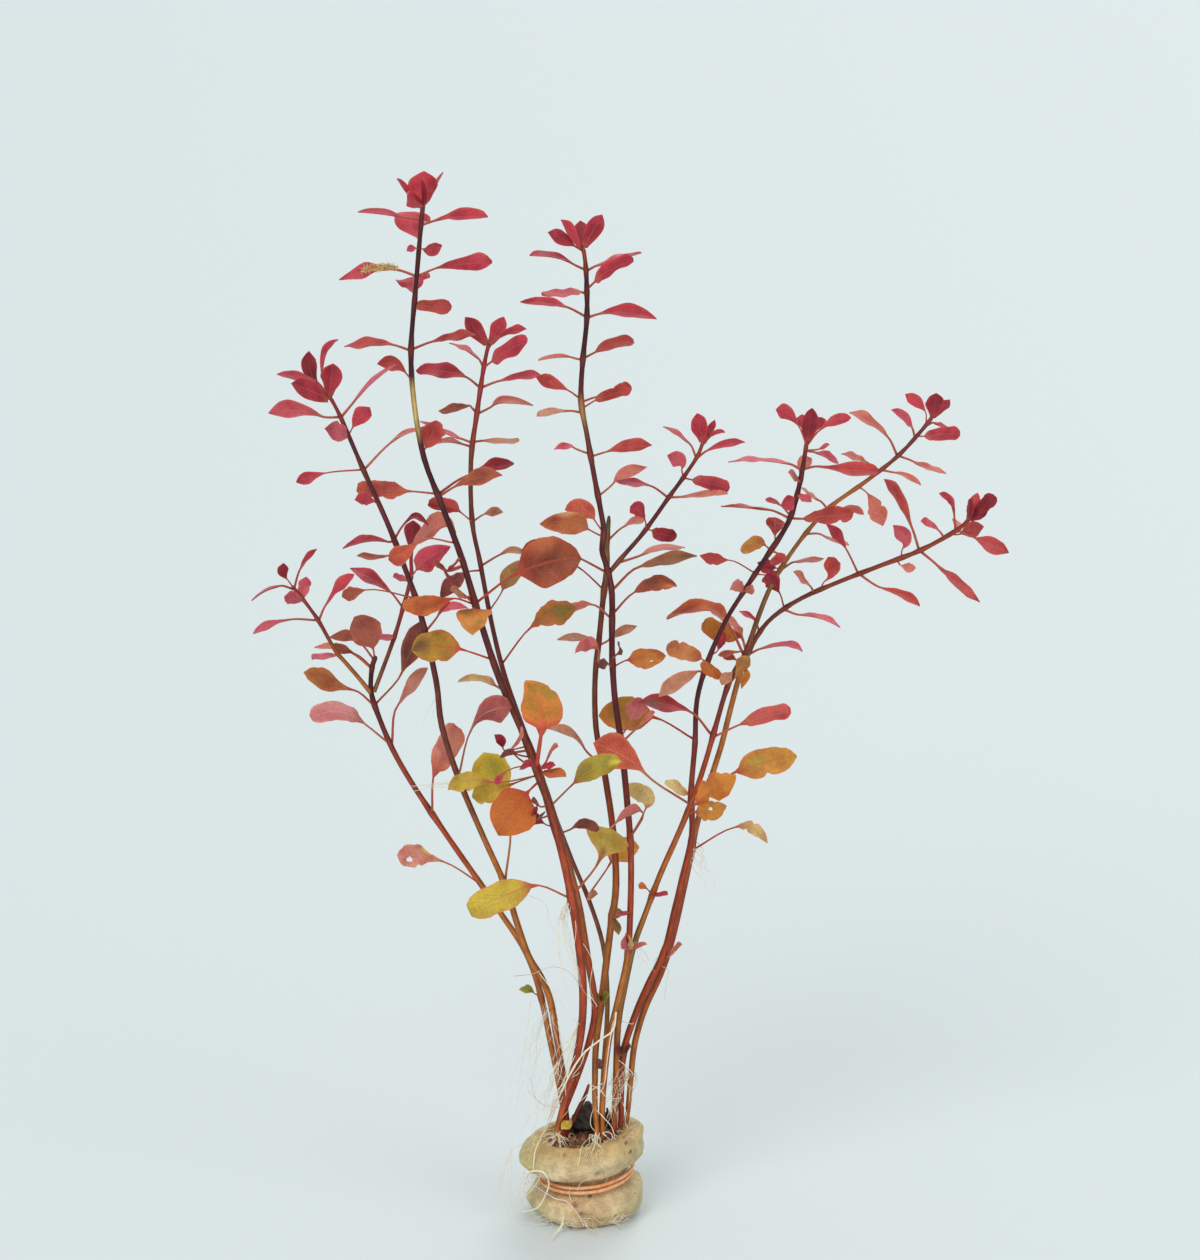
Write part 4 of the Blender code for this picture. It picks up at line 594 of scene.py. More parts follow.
        blade((391, 745), (398, 704), (410, 690), (428, 668), 13, -2, "salmon", "leaf_pink_brown"),
        blade((434, 813), (436, 769), (446, 748), (459, 725), 23, 5, "salmon", "leaf_over_stem"),
        blade((475, 888), (444, 862), (420, 856), (397, 855), 26, 3, "pink", "leaf_holed"),
        blade((538, 997), (534, 993), (528, 989), (520, 990), 9, 3, "green"),
    ),
    shoot(
        "outer_left_branch",
        ((371, 693), (358, 677), (345, 662), (335, 650), (318, 620), (302, 598), (292, 586)),
        ((693, 5.0), (586, -2.0)),
        (4.6, 4.2, 4, 3.8, 3.6, 3.2, 2.6),
        False,
        blade((293, 588), (287, 579), (283, 572), (283, 562), 11, 1, "maroon"),
        blade((293, 588), (300, 568), (307, 558), (316, 548), 6, -2, "crimson"),
        blade((293, 589), (280, 585), (265, 590), (251, 600), 4, 3, "pink"),
        sprig((302, 599), (306, 576), 13, -2, "pink"),
        sprig((302, 600), (285, 597), 14, 3, "pink"),
        blade((316, 621), (290, 619), (270, 624), (252, 632), 11, 1, "pink"),
        blade((320, 619), (325, 605), (338, 589), (354, 574), 11, -2, "crimson"),
        sprig((336, 654), (312, 658), 5, 5, "pink"),
    ),
    shoot(
        "inner_left_branch",
        ((374, 692), (388, 655), (396, 632), (403, 608), (411, 577), (411, 560), (412, 545)),
        ((692, 5.0), (577, 14.0), (545, 16.0)),
        (4.4, 4, 4, 4, 3.8, 3.5, 2.8),
        False,
        sprig((394, 636), (379, 639), 5, 3, "pink"),
        sprig((410, 579), (393, 577), 3, 4, "pink"),
        blade((403, 607), (390, 591), (372, 579), (350, 568), 14, -2, "crimson"),
        blade((411, 577), (418, 568), (430, 557), (451, 546), 22, 2, "crimson"),
        sprig((412, 549), (413, 521), 17, 2, "maroon"),
    ),
    shoot(
        "thin_stem",
        ((601, 1116), (604, 1060), (607, 1020), (607, 985), (603, 945), (590, 903), (572, 860),
         (556, 818), (538, 772)),
        ((1116, 3.5), (1060, 4.0), (985, 5.0), (925, 4.5), (860, 3.0), (772, 2.0)),
        (4.4, 4.5, 4.8, 4.8, 4.6, 4.4, 4.2, 4, 3.2),
        True,
        blade((589, 896), (611, 862), (622, 850), (640, 846), 26, -4, "gold", "leaf_behind_centre"),
        sprig((586, 898), (596, 893), 5, 3, "tan"),
        sprig((603, 1068), (596, 1061), 7, 3, "umber"),
    ),
    shoot(
        "cut_stem",
        ((597, 1133), (595, 1105), (595, 1075), (596, 1045), (601, 1005), (606, 965), (611, 925),
         (616, 885), (613, 830), (604, 770), (596, 728), (595, 680), (599, 640), (603, 600),
         (607, 565), (607, 545), (609, 516)),
        ((1133, -5.2), (1080, -2.8), (1040, 0.0), (1000, 0.5), (965, 1.0), (800, 3.0), (600, 4.5),
         (516, 4.5)),
        (5, 5.5, 6, 6.5, 7, 7, 7, 7, 6.6, 6, 5.6, 5.3, 5.4, 5.4, 5.4, 4.8, 4),
        True,
        sprig((613, 917), (619, 934), 6, 3, "olive"),
        sprig((612, 916), (622, 912), 5, 3, "olive"),
        sprig((601, 1000), (594, 993), 4, 3, "green"),
        sprig((601, 1000), (608, 994), 4, 3, "green"),
        blade((603, 590), (578, 567), (560, 563), (530, 570), 24, -2, "brown"),
        blade((607, 540), (622, 527), (632, 522), (645, 517), 6, -3, "salmon"),
        blade((600, 645), (593, 638), (577, 638), (557, 640), 6, 1, "tan"),
        blade((599, 664), (597, 648), (588, 645), (575, 652), 18, 4, "pink"),
        blade((600, 645), (608, 640), (620, 633), (637, 626), 8, -3, "tan"),
        blade((601, 765), (585, 748), (572, 735), (548, 727), 9, 1, "tan"),
    ),
    shoot(
        "centre_stem",
        ((602, 1133), (603, 1095), (609, 1040), (618, 1000), (627, 960), (630, 920), (631, 855),
         (627, 800), (621, 742), (615, 700), (612, 650), (612, 595), (607, 568), (602, 550),
         (604, 532), (601, 512), (594, 475), (587, 435), (581, 400), (583, 358), (587, 316),
         (586, 270), (583, 247)),
        ((1133, -3.7), (1080, -3.5), (1000, -3.2), (945, -3.0), (800, -1.0), (740, 0.0),
         (573, 0.5), (540, 0.0), (475, -2.0), (350, -5.0), (247, -8.0)),
        (5.5, 5.8, 5.8, 6.2, 6.3, 5.9, 6, 6.3, 6.2, 6, 5.7, 5.5, 5.5, 5.3, 5.2, 5.1, 4.9, 4.8, 4.8,
         4.7, 4.5, 4, 3),
        True,
        sprig((582, 249), (560, 220), 10, 2, "crimson"),
        sprig((582, 249), (580, 220), 15, -2, "maroon"),
        sprig((583, 249), (602, 215), 16, 1, "crimson"),
        blade((583, 251), (575, 246), (563, 239), (550, 232), 11, 4, "crimson"),
        blade((586, 269), (573, 263), (556, 256), (530, 252), 8, 2, "crimson"),
        blade((587, 270), (596, 265), (616, 259), (641, 251), 6, -4, "pink"),
        blade((587, 289), (596, 280), (612, 268), (632, 259), 13, 3, "crimson"),
        blade((587, 293), (579, 291), (562, 293), (543, 293), 8, 4, "crimson"),
        blade((586, 316), (566, 306), (548, 303), (520, 300), 7, -2, "crimson"),
        blade((588, 317), (600, 313), (625, 312), (657, 316), 13, 1, "crimson"),
        blade((583, 359), (570, 356), (560, 356), (538, 360), 3, 1, "salmon"),
        blade((584, 358), (598, 350), (615, 343), (634, 341), 10, -2, "red"),
        blade((581, 399), (568, 390), (552, 383), (537, 377), 12, 2, "red"),
        blade((582, 412), (570, 410), (555, 411), (537, 414), 5, 4, "tan"),
        blade((582, 401), (597, 396), (608, 394), (620, 392), 4, -5, "pink"),
        blade((583, 408), (598, 399), (615, 393), (632, 388), 14, 2, "red"),
        blade((588, 454), (574, 447), (567, 446), (554, 450), 5, 3, "pink"),
        blade((592, 456), (608, 451), (628, 447), (652, 446), 15, 1, "red"),
        blade((599, 496), (614, 482), (625, 474), (647, 468), 12, -3, "salmon"),
        blade((602, 533), (594, 519), (583, 509), (565, 510), 18, 1, "red"),
        blade((602, 537), (588, 529), (568, 522), (541, 525), 23, 5, "orange"),
        blade((605, 573), (578, 557), (552, 549), (522, 548), 18, 1, "brown"),
        blade((611, 590), (640, 566), (662, 562), (697, 556), 14, 3, "olive", "leaf_olive_right"),
        blade((612, 614), (634, 592), (655, 584), (677, 584), 14, 2, "brown", "leaf_bronze_right"),
        blade((612, 618), (592, 604), (580, 606), (562, 614), 8, 2, "salmon"),
        blade((613, 667), (628, 660), (645, 658), (665, 657), 20, 2, "orange", "leaf_orange_right"),
        blade((619, 738), (631, 720), (635, 710), (641, 698), 20, 0.5, "pink"),
        blade((621, 742), (638, 726), (646, 719), (655, 712), 4, 3, "salmon"),
        blade((631, 838), (646, 808), (644, 795), (622, 786), 18, -3, "straw", "leaf_pale_yellow"),
        blade((631, 837), (640, 810), (627, 812), (609, 826), 17, 5, "pink"),
        sprig((629, 949), (622, 936), 7, 4, "pink"),
        sprig((628, 948), (631, 938), 5, 4, "straw"),
        sprig((628, 949), (646, 943), 3, 2, "salmon"),
        sprig((630, 911), (617, 916), 3, 3, "red"),
        blade((613, 667), (609, 664), (605, 663), (600, 667), 5, 5, "umber"),
        blade((613, 660), (617, 655), (621, 650), (620, 643), 4, 5, "umber"),
    ),
    shoot(
        "centre_branch",
        ((609, 573), (625, 554), (640, 537), (655, 517), (669, 497), (683, 478), (697, 457), (703, 442)),
        ((573, 0.5), (540, 2.0), (442, 6.0)),
        (4.4, 4.2, 4.1, 4, 3.8, 3.8, 3.3, 2.6),
        False,
        sprig((703, 444), (697, 413), 16, 1, "crimson"),
        sprig((704, 444), (715, 420), 6, -2, "crimson"),
        blade((704, 445), (710, 436), (716, 433), (725, 432), 4, 3, "crimson"),
        blade((697, 457), (690, 443), (676, 433), (663, 427), 6, -2, "pink"),
        blade((697, 457), (707, 450), (724, 445), (745, 443), 9, 1, "crimson"),
        blade((684, 478), (682, 468), (680, 461), (666, 455), 16, -3, "pink"),
        blade((684, 478), (694, 480), (712, 484), (729, 489), 13, 2, "crimson"),
        blade((669, 497), (650, 485), (635, 482), (615, 479), 8, 1, "pink"),
        blade((671, 497), (680, 496), (702, 494), (727, 491), 4, 4, "salmon"),
        blade((646, 529), (645, 520), (640, 512), (630, 506), 16, 1, "crimson"),
        blade((647, 530), (653, 531), (664, 535), (677, 536), 13, 3, "maroon"),
        blade((619, 562), (642, 554), (660, 549), (685, 548), 8, -6, "salmon"),
    ),
    shoot(
        "crossing_stem",
        ((614, 1126), (616, 1080), (618, 1025), (625, 985), (634, 945), (646, 912), (660, 875),
         (680, 830), (695, 793), (706, 760), (716, 725), (727, 688), (737, 668), (745, 655),
         (759, 615), (771, 586), (785, 562), (806, 533), (830, 507), (865, 482), (899, 455),
         (927, 424), (934, 413)),
        ((1126, -2.2), (1080, -1.0), (1040, 0.2), (1000, 1.0), (945, 1.0), (811, 1.5), (700, 2.0),
         (650, 4.0), (600, 5.0), (560, 6.0), (500, 9.0), (413, 14.0)),
        (5.5, 6.3, 6.6, 6.5, 6, 5.7, 5.8, 5.7, 5.4, 5.2, 5, 4.8, 4.8, 4.8, 4.9, 4.6, 4.2, 4, 4, 3.9,
         3.6, 3.4, 2.8),
        True,
        blade((652, 895), (647, 889), (643, 886), (638, 885), 6, 3, "orange"),
        sprig((652, 895), (668, 895), 4, 3, "crimson"),
        blade((741, 672), (734, 672), (728, 676), (722, 684), 9, 4, "tan"),
        blade((742, 662), (745, 668), (746, 676), (741, 688), 8, 4, "gold"),
        blade((690, 809), (696, 804), (713, 790), (736, 775), 27, 5, "gold", "leaf_ragged_gold"),
        blade((687, 815), (695, 812), (709, 811), (726, 806), 18, 6, "gold", "leaf_gold_lobe"),
        blade((713, 737), (746, 722), (768, 716), (791, 711), 15, 1, "red", "leaf_red_right"),
        blade((712, 735), (690, 711), (668, 705), (638, 703), 14, 3, "crimson", "leaf_dark_crimson"),
        blade((729, 686), (724, 677), (712, 672), (701, 664), 10, 3, "orange"),
        blade((729, 688), (733, 680), (741, 668), (747, 656), 14, 2, "olive"),
        blade((745, 655), (728, 622), (705, 608), (666, 616), 15, -1, "orange"),
        blade((746, 650), (741, 633), (730, 622), (712, 612), 8, -4, "salmon"),
        blade((746, 650), (738, 636), (722, 633), (704, 622), 18, -6, "gold"),
        blade((746, 652), (740, 651), (730, 653), (718, 655), 7, -1, "salmon"),
        blade((741, 664), (736, 660), (730, 657), (722, 656), 7, -3, "orange"),
        blade((782, 570), (776, 568), (768, 566), (757, 562), 14, 1, "maroon"),
        blade((782, 569), (795, 561), (808, 560), (824, 557), 4, -1, "salmon"),
        blade((806, 533), (822, 534), (836, 541), (849, 545), 6, 2, "salmon"),
        blade((828, 508), (820, 500), (811, 495), (801, 488), 4, 1, "tan"),
        blade((830, 508), (841, 509), (850, 508), (864, 514), 7, 2, "salmon"),
        blade((859, 487), (868, 494), (876, 508), (883, 526), 18, 3, "salmon"),
        blade((880, 470), (866, 461), (858, 458), (841, 454), 7, 2, "salmon"),
        blade((882, 470), (896, 472), (904, 475), (921, 485), 6, 2, "salmon"),
        blade((898, 455), (888, 436), (872, 424), (849, 413), 10, 1, "salmon"),
        blade((899, 455), (914, 461), (928, 468), (946, 474), 7, -1, "salmon"),
        blade((916, 437), (913, 428), (905, 419), (891, 410), 9, 3, "pink"),
        blade((917, 437), (926, 436), (942, 434), (960, 433), 13, 1, "crimson"),
        blade((926, 425), (925, 411), (917, 402), (905, 394), 12, -2, "crimson"),
        blade((927, 425), (934, 422), (943, 426), (954, 432), 4, -2, "crimson"),
        sprig((933, 418), (936, 392), 18, 1, "maroon"),
        sprig((933, 418), (950, 399), 8, -2, "crimson"),
    ),
    shoot(
        "right_stem",
        ((621, 1120), (621, 1095), (624, 1050), (636, 1013), (649, 983), (664, 953), (673, 918),
         (682, 880), (692, 835), (691, 793), (695, 743), (697, 700), (708, 661), (725, 622),
         (744, 591), (765, 559), (788, 523), (799, 487), (804, 460), (807, 440)),
        ((1120, 0.8), (1075, 1.0), (1000, 2.0), (900, 4.0), (811, 5.5), (700, 4.0), (600, 0.0),
         (440, -6.0)),
        (5.5, 6.3, 6.5, 7, 7, 6.8, 6.8, 6.8, 6.2, 5.6, 5.1, 4.9, 4.8, 4.6, 4.5, 4.8, 4.8, 4.4, 3.8, 3),
        True,
        blade((807, 445), (798, 425), (787, 413), (775, 409), 14, 2, "crimson"),
        sprig((807, 443), (812, 407), 16, 1, "maroon"),
        blade((807, 445), (803, 430), (802, 422), (802, 414), 10, -3, "crimson"),
        blade((807, 445), (815, 432), (820, 424), (822, 417), 10, -3, "crimson"),
        blade((807, 445), (819, 430), (833, 422), (851, 417), 9, 1, "crimson"),
        blade((806, 450), (816, 452), (825, 456), (838, 463), 6, -4, "pink"),
        blade((806, 450), (818, 449), (824, 447), (829, 444), 4, 3, "pink"),
        sprig((801, 481), (788, 472), 4, 3, "salmon"),
        sprig((667, 957), (682, 944), 3, 3, "salmon"),
        blade((803, 469), (790, 463), (760, 459), (728, 460), 7, 1, "pink"),
        blade((801, 480), (800, 472), (803, 464), (812, 458), 14, -3, "salmon"),
        blade((804, 469), (818, 466), (850, 470), (879, 472), 18, 3, "red"),
        blade((798, 497), (795, 498), (790, 502), (783, 505), 15, 4, "crimson"),
        sprig((798, 494), (811, 501), 5, 3, "pink"),
        blade((790, 517), (770, 509), (745, 506), (721, 504), 4, 2, "red"),
        blade((791, 515), (781, 505), (773, 501), (765, 499), 5, -2, "pink"),
        blade((791, 518), (806, 518), (830, 516), (853, 517), 13, 4, "red"),
        blade((776, 543), (775, 535), (775, 526), (775, 517), 19, -4, "red"),
        blade((771, 550), (765, 545), (755, 543), (742, 552), 13, 3, "gold"),
        blade((771, 550), (777, 553), (779, 559), (774, 566), 14, 4, "crimson"),
        blade((755, 574), (765, 575), (772, 578), (779, 586), 10, 3, "maroon"),
        blade((755, 573), (728, 560), (716, 559), (700, 556), 12, 1, "red"),
        sprig((744, 591), (732, 582), 14, 4, "salmon"),
        sprig((744, 590), (755, 590), 8, 3, "salmon"),
        blade((711, 655), (718, 650), (721, 643), (725, 632), 8, -3, "crimson"),
        blade((707, 663), (700, 658), (685, 652), (667, 648), 17, 1, "tan"),
        blade((704, 672), (698, 671), (681, 681), (659, 698), 16, 3, "tan", "leaf_tan"),
        blade((695, 740), (653, 717), (628, 714), (598, 716), 34, -2, "gold", "leaf_orange_oval"),
        blade((690, 805), (645, 773), (625, 757), (593, 743), 28, 11.5, "red", "leaf_red_orange"),
        blade((691, 796), (688, 794), (679, 788), (667, 782), 10, 3, "straw"),
        sprig((624, 1054), (616, 1047), 6, 3, "umber"),
        sprig((624, 1052), (631, 1046), 4, 3, "umber"),
    ),
    shoot(
        "far_right_stem",
        ((627, 1118), (631, 1075), (635, 1042), (645, 1008), (661, 973), (672, 940), (682, 897),
         (690, 860), (698, 820), (712, 775), (722, 743), (731, 707), (742, 668), (756, 638),
         (773, 617), (802, 598), (841, 581), (882, 565), (921, 550), (957, 530), (970, 518)),
        ((1118, 2.5), (1070, 3.5), (1000, 5.5), (900, 8.0), (838, 10.0), (700, 8.5), (638, 8.2),
         (617, 7.4), (598, 4.5), (570, -3.0), (518, -12.0)),
        (5, 5.8, 6.3, 6.6, 6.6, 6.3, 6.1, 6, 5.9, 5.8, 5.6, 5.4, 5, 4.5, 4.3, 4.2, 4.2, 4.3, 4.2, 3.6, 3),
        True,
        blade((691, 850), (735, 827), (752, 828), (769, 842), 15, 2, "straw", "leaf_low_right"),
        blade((709, 785), (736, 772), (765, 762), (797, 756), 30, 1, "gold", "leaf_gold_right"),
        blade((760, 633), (756, 621), (750, 616), (739, 611), 6, -2, "crimson"),
        blade((749, 653), (760, 648), (785, 645), (802, 652), 4, 2, "pink"),
        blade((784, 609), (779, 592), (773, 582), (768, 570), 18, -5, "maroon"),
        blade((786, 610), (800, 614), (820, 617), (841, 626), 5, 3, "pink"),
        blade((815, 592), (810, 585), (803, 579), (796, 571), 6, 4, "salmon"),
        blade((820, 590), (825, 581), (832, 571), (828, 557), 17, -2, "red"),
        blade((859, 574), (846, 548), (838, 537), (826, 524), 11, 1, "crimson"),
        blade((860, 574), (881, 587), (898, 594), (920, 606), 10, 2, "red"),
        blade((901, 557), (903, 548), (905, 538), (893, 525), 15, -3, "pink"),
        blade((897, 561), (900, 565), (906, 567), (915, 568), 9, 3, "salmon"),
        blade((920, 550), (912, 526), (898, 500), (883, 480), 13, -1, "red"),
        blade((921, 551), (938, 565), (955, 582), (979, 603), 11, 1, "red"),
        blade((945, 538), (940, 531), (932, 525), (921, 521), 8, 2, "pink"),
        blade((956, 530), (955, 516), (951, 502), (940, 492), 8, -1, "crimson"),
        blade((950, 535), (960, 534), (970, 530), (985, 527), 15, -3, "red"),
        sprig((957, 532), (956, 519), 12, -4, "salmon"),
        blade((958, 531), (975, 538), (990, 544), (1009, 553), 16, 3, "red"),
        sprig((968, 521), (995, 496), 15, 1, "maroon"),
        sprig((969, 520), (987, 511), 8, 2, "maroon"),
        sprig((968, 520), (972, 498), 7, 2, "maroon"),
        sprig((968, 521), (978, 493), 9, -2, "crimson"),
    ),
    shoot(
        "red_sprout",
        ((573, 1121), (579, 1108), (585, 1096), (589, 1084)),
        ((1121, -1.8), (1084, -3.2)),
        (4, 4.5, 4, 2.5),
        False,
        sprig((574, 1120), (562, 1128), 7, 3, "yellow"),
    ),
)
TALLEST_STEM = SHOOTS[0]

# Roots, as sightings with their depth in millimetres
ROOTS = {
    "root_arch": ((616, 1012, -4.9), (613, 1030, -5.9), (600, 1040, -8.0), (585, 1052, -9.8),
                  (572, 1070, -9.4), (560, 1095, -6.4), (553, 1115, -3.0), (545, 1130, -1.0),
                  (539, 1142, -5.2), (535, 1152, -7.0), (533, 1170, -9.0)),
    "root_hanging": ((564, 904, -10.6), (560, 918, -11.2), (558, 940, -11.4), (561, 965, -11.6),
                     (568, 995, -11.8), (574, 1020, -11.8)),
    "root_left": ((531, 1000, 1.6), (527, 1030, 1.0), (521, 1070, 0.0), (516, 1110, -2.0),
                  (512, 1145, -4.0)),
    "root_loop": ((524, 1173, -6.4), (535, 1171, -9.4), (544, 1173, -10.6), (549, 1183, -10.2),
                  (545, 1196, -9.4), (537, 1208, -8.6), (521, 1212, -6.8)),
    "root_foot": ((564, 1217, -12.2), (562, 1224, -12.4), (559, 1229, -13.0), (555, 1234, -14.8),
                  (552, 1240, -17.6)),
}
# The radius of each at its start, as a share of its solid's thickness
ROOT_STOUTNESS = {
    "root_arch": 0.38, "root_hanging": 0.20, "root_left": 0.14, "root_loop": 0.40, "root_foot": 0.38,
}

# Thin roots seen one by one: colour, radius in millimetres, and sightings with their depths
FINE_ROOTS = (
    (CREAM, 0.12,
     ((536, 970, -4.5), (552, 990, -7.0), (563, 1006, -9.6), (575, 1020, -11.0), (590, 1026, -9.0))),
    (DULL, 0.09, ((514, 976, -2.0), (532, 974, -5.0), (544, 969, -7.0), (556, 967, -9.5), (570, 973, -12.0),
                  (583, 990, -12.0), (592, 1004, -9.0), (600, 1012, -6.0))),
    (CREAM, 0.12, ((588, 982, -7.0), (593, 1000, -9.0), (597, 1006, -8.5), (604, 1008, -4.0))),
    (PALE, 0.13,
     ((611, 1018, -6.0), (610, 1040, -8.0), (607, 1062, -8.0), (604, 1085, -7.5), (603, 1100, -7.0))),
    (PALE, 0.13,
     ((603, 1108, -6.4), (604, 1118, -6.6), (611, 1126, -6.4), (614, 1134, -6.8), (615, 1140, -7.8))),
    (PALE, 0.13, ((621, 1059, -2.5), (626, 1066, -3.0), (633, 1074, -3.0), (636, 1077, -1.6))),
    (CREAM, 0.12,
     ((592, 1080, -8.0), (600, 1090, -9.0), (608, 1098, -8.0), (620, 1098, -5.0), (630, 1096, -3.0))),
    (CREAM, 0.11,
     ((600, 1082, -8.0), (592, 1090, -9.0), (583, 1099, -9.0), (572, 1107, -8.0), (556, 1119, -6.0))),
    (PALE, 0.14,
     ((589, 1050, -9.4), (580, 1058, -10.0), (573, 1070, -10.0), (566, 1084, -9.0), (560, 1096, -8.0))),
    (CREAM, 0.12, ((557, 1062, -6.4), (553, 1070, -6.0), (558, 1074, -6.0), (560, 1079, -6.4))),
    (CREAM, 0.11, ((563, 1058, -7.0), (558, 1074, -7.0), (555, 1082, -6.6))),
    (CREAM, 0.12, ((577, 1079, -9.4), (580, 1066, -10.0), (584, 1056, -10.0), (590, 1050, -8.6))),
    (CREAM, 0.10, ((571, 1078, -9.4), (578, 1074, -10.0), (585, 1073, -9.4))),
    (CREAM, 0.12,
     ((563, 1075, -5.5), (556, 1092, -6.0), (552, 1106, -4.4), (549, 1118, -1.6), (543, 1130, -1.4))),
    (CREAM, 0.11,
     ((578, 1052, -9.8), (568, 1070, -9.0), (558, 1092, -7.0), (550, 1103, -5.0), (545, 1107, -4.0))),
    (CREAM, 0.09, ((566, 902, -10.8), (560, 915, -11.4), (560, 938, -12.0), (562, 965, -12.5))),
    (CREAM, 0.08,
     ((525, 895, -4.0), (535, 898, -7.0), (546, 905, -8.0), (549, 920, -9.0), (560, 942, -11.0))),
    (CREAM, 0.09, ((582, 915, -11.0), (576, 930, -12.0), (574, 955, -13.0), (578, 975, -13.0))),
    (CREAM, 0.09, ((586, 935, -8.0), (592, 960, -9.5), (590, 985, -10.0), (600, 1000, -7.0))),
    (DULL, 0.08, ((660, 966, 4.0), (668, 970, 2.0), (667, 980, 1.0), (664, 1000, 1.0))),
    (PALE, 0.09, ((623, 1021, 0.0), (632, 1024, -1.0), (641, 1024, 0.0))),
    (PALE, 0.13,
     ((603, 1141, -9.4), (606, 1136, -8.6), (603, 1133, -8.0), (608, 1132, -8.0), (612, 1135, -8.2),
      (611, 1140, -9.0), (606, 1140, -9.4))),
    (CREAM, 0.10,
     ((578, 1167, -12.6), (580, 1156, -11.6), (581, 1148, -10.2), (586, 1141, -8.0), (591, 1135, -6.0))),
    (CREAM, 0.11, ((588, 1136, -6.6), (591, 1126, -6.4), (591, 1116, -6.0), (590, 1106, -6.0))),
    (CREAM, 0.10, ((601, 1166, -12.2), (605, 1170, -12.0), (607, 1178, -9.6), (605, 1184, -9.6))),
    (PALE, 0.14,
     ((546, 1193, -7.0), (556, 1199, -9.4), (566, 1201, -11.0), (573, 1208, -12.4), (579, 1216, -12.8),
      (584, 1226, -13.0))),
    (PALE, 0.13, ((520, 1176, -6.0), (533, 1184, -7.0), (541, 1190, -7.2), (548, 1195, -7.8))),
    (PALE, 0.11, ((541, 1174, -10.0), (537, 1183, -8.6), (530, 1192, -7.6), (520, 1200, -7.0))),
    (PALE, 0.11, ((564, 1222, -12.0), (560, 1230, -14.0), (554, 1234, -15.6), (551, 1240, -18.0))),
    (CREAM, 0.10, ((571, 1200, -11.0), (569, 1194, -10.8), (570, 1188, -12.0))),
    (CREAM, 0.09, ((577, 1191, -11.8), (580, 1184, -12.4), (585, 1180, -12.8))),
    (DULL, 0.09,
     ((556, 1106, -3.6), (548, 1106, -3.6), (543, 1105, -3.0), (536, 1099, -1.0), (528, 1091, 0.0))),
    (DULL, 0.09,
     ((543, 1105, -3.0), (536, 1099, -1.0), (533, 1091, -1.0), (532, 1084, 0.0), (529, 1078, 0.0))),
    (CREAM, 0.11, ((541, 1131, -0.8), (548, 1130, 0.0), (557, 1129, 0.6), (562, 1132, -0.6))),
    (CREAM, 0.10, ((536, 1136, -2.0), (533, 1143, -3.0), (536, 1145, -3.8), (541, 1138, -2.4))),
    (PALE, 0.11, ((626, 1100, -2.0), (626, 1112, -2.0), (625, 1122, -1.8), (629, 1129, -3.4))),
    (DULL, 0.08, ((532, 1141, -1.0), (524, 1144, -3.0), (512, 1148, -4.0))),
)

# Bushes of short fine roots: colour, radius, where they start and end with depths, how far they
# wander in millimetres, and how many there are
ROOT_BUSHES = (
    (CREAM, 0.12, (562, 1132, -1.0), (563, 1144, -7.6), 1.8, 9),
    (CREAM, 0.12, (552, 1132, 0.0), (549, 1143, -4.6), 1.8, 8),
    (CREAM, 0.13, (597, 1133, -6.0), (590, 1149, -9.6), 2.2, 10),
    (RUST, 0.10, (572, 1136, -2.0), (572, 1147, -8.4), 2.0, 8),
    (CREAM, 0.11, (602, 1138, -6.4), (597, 1150, -9.8), 1.8, 6),
    (CREAM, 0.07, (628, 1064, -1.0), (618, 1100, -4.0), 3.4, 15),
    (DULL, 0.07, (636, 1074, 0.0), (622, 1094, -4.5), 3.0, 12),
    (PALE, 0.07, (630, 1096, -1.0), (612, 1106, -4.5), 1.8, 9),
    (DULL, 0.07, (616, 1100, -4.5), (611, 1122, -5.0), 1.8, 9),
    (CREAM, 0.09, (578, 1024, -9.5), (560, 1075, -8.0), 2.8, 9),
    (CREAM, 0.09, (566, 1070, -7.0), (552, 1116, -2.6), 2.0, 9),
    (PALE, 0.05, (546, 1004, -1.0), (518, 1090, -1.0), 4.0, 12),
    (PALE, 0.05, (560, 1060, -5.0), (532, 1130, -3.0), 3.6, 10),
    (PALE, 0.06, (534, 1172, -8.0), (514, 1210, -8.0), 2.8, 12),
    (PALE, 0.06, (512, 1146, -4.0), (500, 1198, -4.0), 2.4, 6),
    (PALE, 0.06, (550, 1222, -9.6), (530, 1218, -8.0), 2.6, 8),
    (CREAM, 0.07, (612, 1222, -11.6), (626, 1216, -9.4), 2.4, 12),
    (CREAM, 0.05, (548, 1010, -4.0), (560, 1060, -6.0), 2.0, 6),
    (CREAM, 0.07, (700, 846, 1.0), (708, 884, 2.0), 3.0, 7),
    (CREAM, 0.06, (456, 783, 0.5), (412, 788, -1.0), 1.6, 5),
    (CREAM, 0.06, (458, 783, 0.5), (430, 784, -1.0), 1.2, 4),
    (CREAM, 0.05, (438, 698, -10.5), (428, 716, -9.0), 1.6, 4),
    (PALE, 0.06, (636, 940, 0.0), (650, 965, 0.0), 2.0, 4),
    (PALE, 0.08, (569, 899, -11.0), (561, 922, -11.6), 1.4, 12),
    (PALE, 0.07, (562, 912, -11.4), (578, 985, -12.5), 1.8, 6),
    (PALE, 0.06, (664, 952, 4.0), (655, 966, 3.0), 1.4, 6),
    (CREAM, 0.08, (562, 1218, -11.4), (574, 1227, -12.6), 2.2, 10),
    (CREAM, 0.08, (582, 1219, -12.0), (598, 1227, -13.0), 2.2, 10),
)


